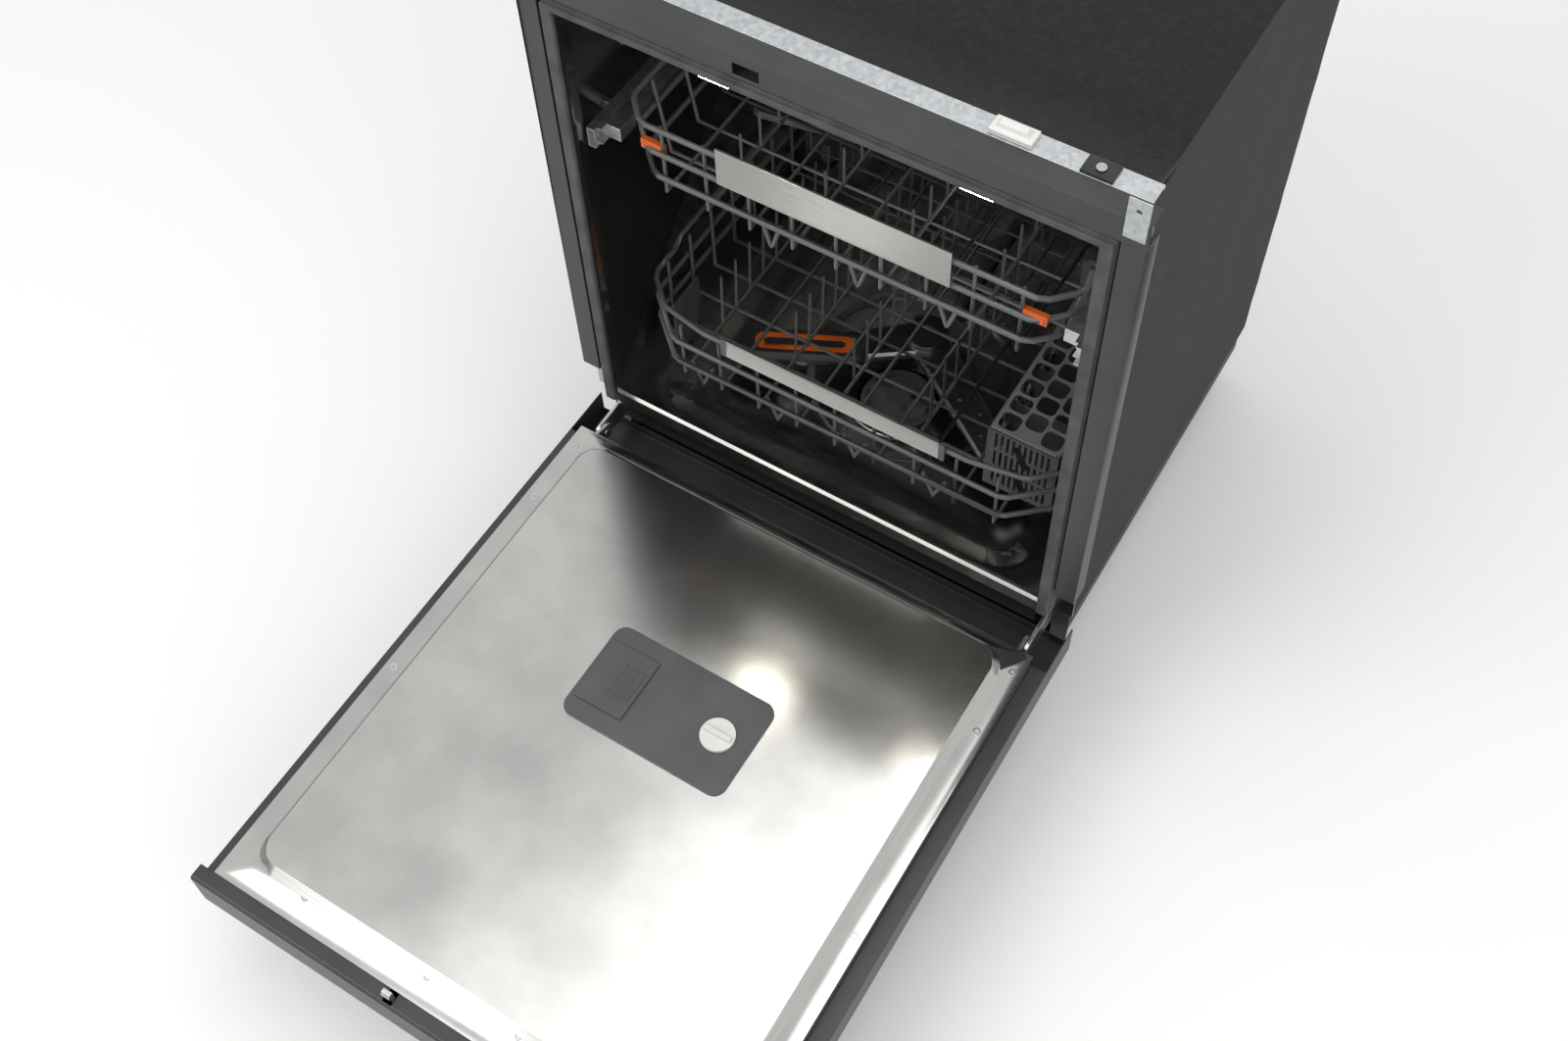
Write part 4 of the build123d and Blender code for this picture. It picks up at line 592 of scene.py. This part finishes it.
def screw(name, place, axis, radius, body):
    """A zinc screw head with a round sunk middle, standing on a face that looks along axis."""
    tall, lift, sink = 1.8, 0.8, 1.0  # lift: the head's middle over the face it stands on
    head = primitive("cylinder", name, vertices=18, radius=radius * MM, depth=tall * MM)
    pick_faces(head, lambda face: face.normal.z > 0.9)
    bpy.ops.mesh.inset(thickness=0.5 * radius * MM)
    bpy.ops.mesh.extrude_region_move(TRANSFORM_OT_translate={"value": (0, 0, -sink * MM)})
    bpy.ops.object.mode_set(mode="OBJECT")
    head.rotation_euler = Vector(axis).to_track_quat("Z", "Y").to_euler()
    head.location = [(v + lift * a) * MM for v, a in zip(place, axis)]
    settle(head, body, "zinc", bevel=0.35)


def small_hardware():
    """Screws round the liner's border, pins on the tub's walls, and the crossbar's clip and tab."""
    border_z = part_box("door_liner")[1][2] / MM - 12.0  # the border lies 12 mm under the raised field
    sunk = 1.5  # keeps the heads clear of the gasket when the door is closed
    liner_places = ((271, -11), (271, -87), (272, -328), (-271, -11), (-271, -87), (-272, -328))
    for k, (x, y) in enumerate(liner_places):
        screw(f"liner_screw_{k}", (x, y, border_z - sunk), (0, 0, 1), 4.2, "door")
    console_y = -564.0
    for k, x in enumerate((-190.0, -44.0, 60.0, 200.0)):
        screw(f"console_screw_{k}", (x, console_y, border_z), (0, 0, 1), 3.6, "door")
    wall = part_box("fixed_rails")[1][0] / MM
    pin_y, pin_heights = 79.5, (565.0, 385.0)
    for side in (-1, 1):
        for k, z in enumerate(pin_heights):
            screw(
                f"wall_pin_{k}_{'left' if side < 0 else 'right'}", (side * wall, pin_y, z),
                (-side, 0, 0), 4.0, "machine",
            )
    (_, y0, _), (_, y1, top) = corners("top_crossbar")
    clip_x, clip_tall = (146, 184), 5
    clip = slab("crossbar_clip", (clip_x[0], y0 + 2, top), (clip_x[1], y1 - 2, top + clip_tall))
    pick_faces(clip, lambda face: face.normal.z > 0.9)
    bpy.ops.mesh.inset(thickness=4.0 * MM)
    bpy.ops.mesh.extrude_region_move(TRANSFORM_OT_translate={"value": (0, 0, clip_tall * MM)})
    bpy.ops.transform.resize(value=(0.8, 0.7, 1.0))
    bpy.ops.object.mode_set(mode="OBJECT")
    settle(clip, "machine", "pale_plastic", bevel=0.8)
    tab_x, tab_tall = (226, 254), 2.5
    tab = slab("crossbar_tab", (tab_x[0], y0 + 1, top), (tab_x[1], y1 - 1, top + tab_tall))
    pick_faces(tab, lambda face: face.normal.z > 0.9)
    bpy.ops.mesh.inset(thickness=3.0 * MM)
    bpy.ops.transform.shrink_fatten(value=-0.8 * MM)
    bpy.ops.object.mode_set(mode="OBJECT")
    settle(tab, "machine", "base_black", bevel=0.5)
    screw("crossbar_screw", (sum(tab_x) / 2, (y0 + y1) / 2, top + 2.0), (0, 0, 1), 4.5, "machine")


def bent_rod(name, points, radius, body, slot):
    """A bent round wire: a vertex drawn out along its corners, skinned and smoothed."""
    rod = primitive("plane", name, size=0.01 * MM, location=[v * MM for v in points[0]])
    bpy.ops.object.transform_apply(location=True, rotation=True, scale=True)
    bpy.ops.object.mode_set(mode="EDIT")
    bpy.ops.mesh.select_all(action="SELECT")
    bpy.ops.mesh.merge(type="CENTER")
    bpy.ops.mesh.select_mode(type="VERT")
    for start, end in zip(points, points[1:]):
        step = [(b - a) * MM for a, b in zip(start, end)]
        bpy.ops.mesh.extrude_vertices_move(TRANSFORM_OT_translate={"value": step})
    bpy.ops.object.mode_set(mode="OBJECT")
    rod.modifiers.new("skin", "SKIN")
    for vertex in rod.data.skin_vertices[0].data:
        vertex.radius = (radius * MM, radius * MM)
    only(rod)
    bpy.ops.object.modifier_apply(modifier="skin")
    modify(rod, "SUBSURF", levels=1, render_levels=1)
    settle(rod, body, slot, smooth=ROD_SMOOTH)


def upper_rack_feet():
    """The small V-shaped wires under the front of the upper rack, and its two orange catches."""
    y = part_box("upper_rack_rims")[0][1] / MM + 8.0
    spread, tip_z, rim_z, wire = 11, 534, 571, 2.6
    for k, x in enumerate((-165.0, -71.0, 23.0, 117.0)):
        bent_rod(
            f"upper_front_foot_{k}", [(x - spread, y, rim_z), (x, y, tip_z), (x + spread, y, rim_z)],
            wire, "upper_rack", "wire_grey",
        )
    catch_x, half_wide, low_z, high_z, nose = 200.0, 13, 597, 609, 2.0
    for side in (-1, 1):
        x = side * catch_x
        catch = slab(
            "rack_catch_" + ("left" if side < 0 else "right"),
            (x - half_wide, y - 2, low_z), (x + half_wide, y + 4, high_z),
        )
        pick_faces(catch, lambda face: face.normal.y < -0.9)
        bpy.ops.mesh.inset(thickness=2.5 * MM)
        bpy.ops.mesh.extrude_region_move(TRANSFORM_OT_translate={"value": (0, -nose * MM, 0)})
        bpy.ops.object.mode_set(mode="OBJECT")
        settle(catch, "upper_rack", "orange_plastic", bevel=0.8)


felt_jacket()
handle_strip("lower_rack_handle", "lower_rack")
handle_strip("upper_rack_handle", "upper_rack")
basket_walls()
lower_arm()
basket_lid("basket_lid_front")
basket_lid("basket_lid_rear")
small_hardware()
upper_rack_feet()


# ---------------------------------------------------------------- floor, light and camera
def pale_floor():
    """A wide pale floor, half a millimetre under the feet, which keeps the object's shadow."""
    floor = primitive("plane", "floor", size=30.0, location=(0, 0, -0.5 * MM))
    material, _, shader = new_material("pale_floor")
    set_inputs(shader, Base_Color=linear("#f2f2f0"), Roughness=0.8)
    floor.data.materials.append(material)


def studio_light():
    """Three soft lamps, and a surround that is white to the camera, gloss and glass, and dimmer
    as a light."""
    aim = Vector((0, -0.1, 0.4))
    world = bpy.data.worlds.new("studio")
    world.use_nodes = True
    bpy.context.scene.world = world
    tree = world.node_tree
    back = tree.nodes["Background"]
    paths = add(tree, "ShaderNodeLightPath")
    seen = paths.outputs["Is Camera Ray"]
    for kind in ("Is Glossy Ray", "Is Transmission Ray"):
        seen = add(
            tree, "ShaderNodeMath", {"operation": "MAXIMUM"}, i0=seen, i1=paths.outputs[kind],
        ).outputs["Value"]
    level = add(tree, "ShaderNodeMapRange", Value=seen, i3=0.65, i4=1.0).outputs["Result"]
    tree.links.new(level, back.inputs["Strength"])
    back.inputs["Color"].default_value = (1, 1, 1, 1)
    for name, place, size, power in (
        ("key", (-1.6, -2.2, 3.4), 2.2, 55.0),
        ("fill", (2.6, -1.4, 2.4), 2.6, 32.0),
        ("top", (0.2, 0.3, 3.6), 2.4, 30.0),
    ):
        lamp = bpy.data.lights.new(name, "AREA")
        lamp.size = size
        lamp.energy = power
        holder = bpy.data.objects.new(name, lamp)
        bpy.context.scene.collection.objects.link(holder)
        holder.location = place
        holder.rotation_euler = (aim - Vector(place)).to_track_quat("-Z", "Y").to_euler()


def camera():
    """A standing viewer's camera, in front and to the right, looking down into the open machine."""
    place = (0.5646, -0.8502, 1.8594)
    azimuth, elevation, roll = radians(33.0), radians(54.35), radians(-1.87)
    turn = (
        Matrix.Rotation(azimuth, 4, "Z")
        @ Matrix.Rotation(pi / 2 - elevation, 4, "X")
        @ Matrix.Rotation(roll, 4, "Z")
    )
    data = bpy.data.cameras.new("camera")
    data.sensor_width = 36.0
    data.lens = 42.3
    data.shift_x, data.shift_y = -0.007, -0.070
    holder = bpy.data.objects.new("camera", data)
    bpy.context.scene.collection.objects.link(holder)
    holder.matrix_world = Matrix.Translation(place) @ turn
    bpy.context.scene.camera = holder


pale_floor()
studio_light()
camera()
bpy.context.scene.view_settings.view_transform = "Standard"
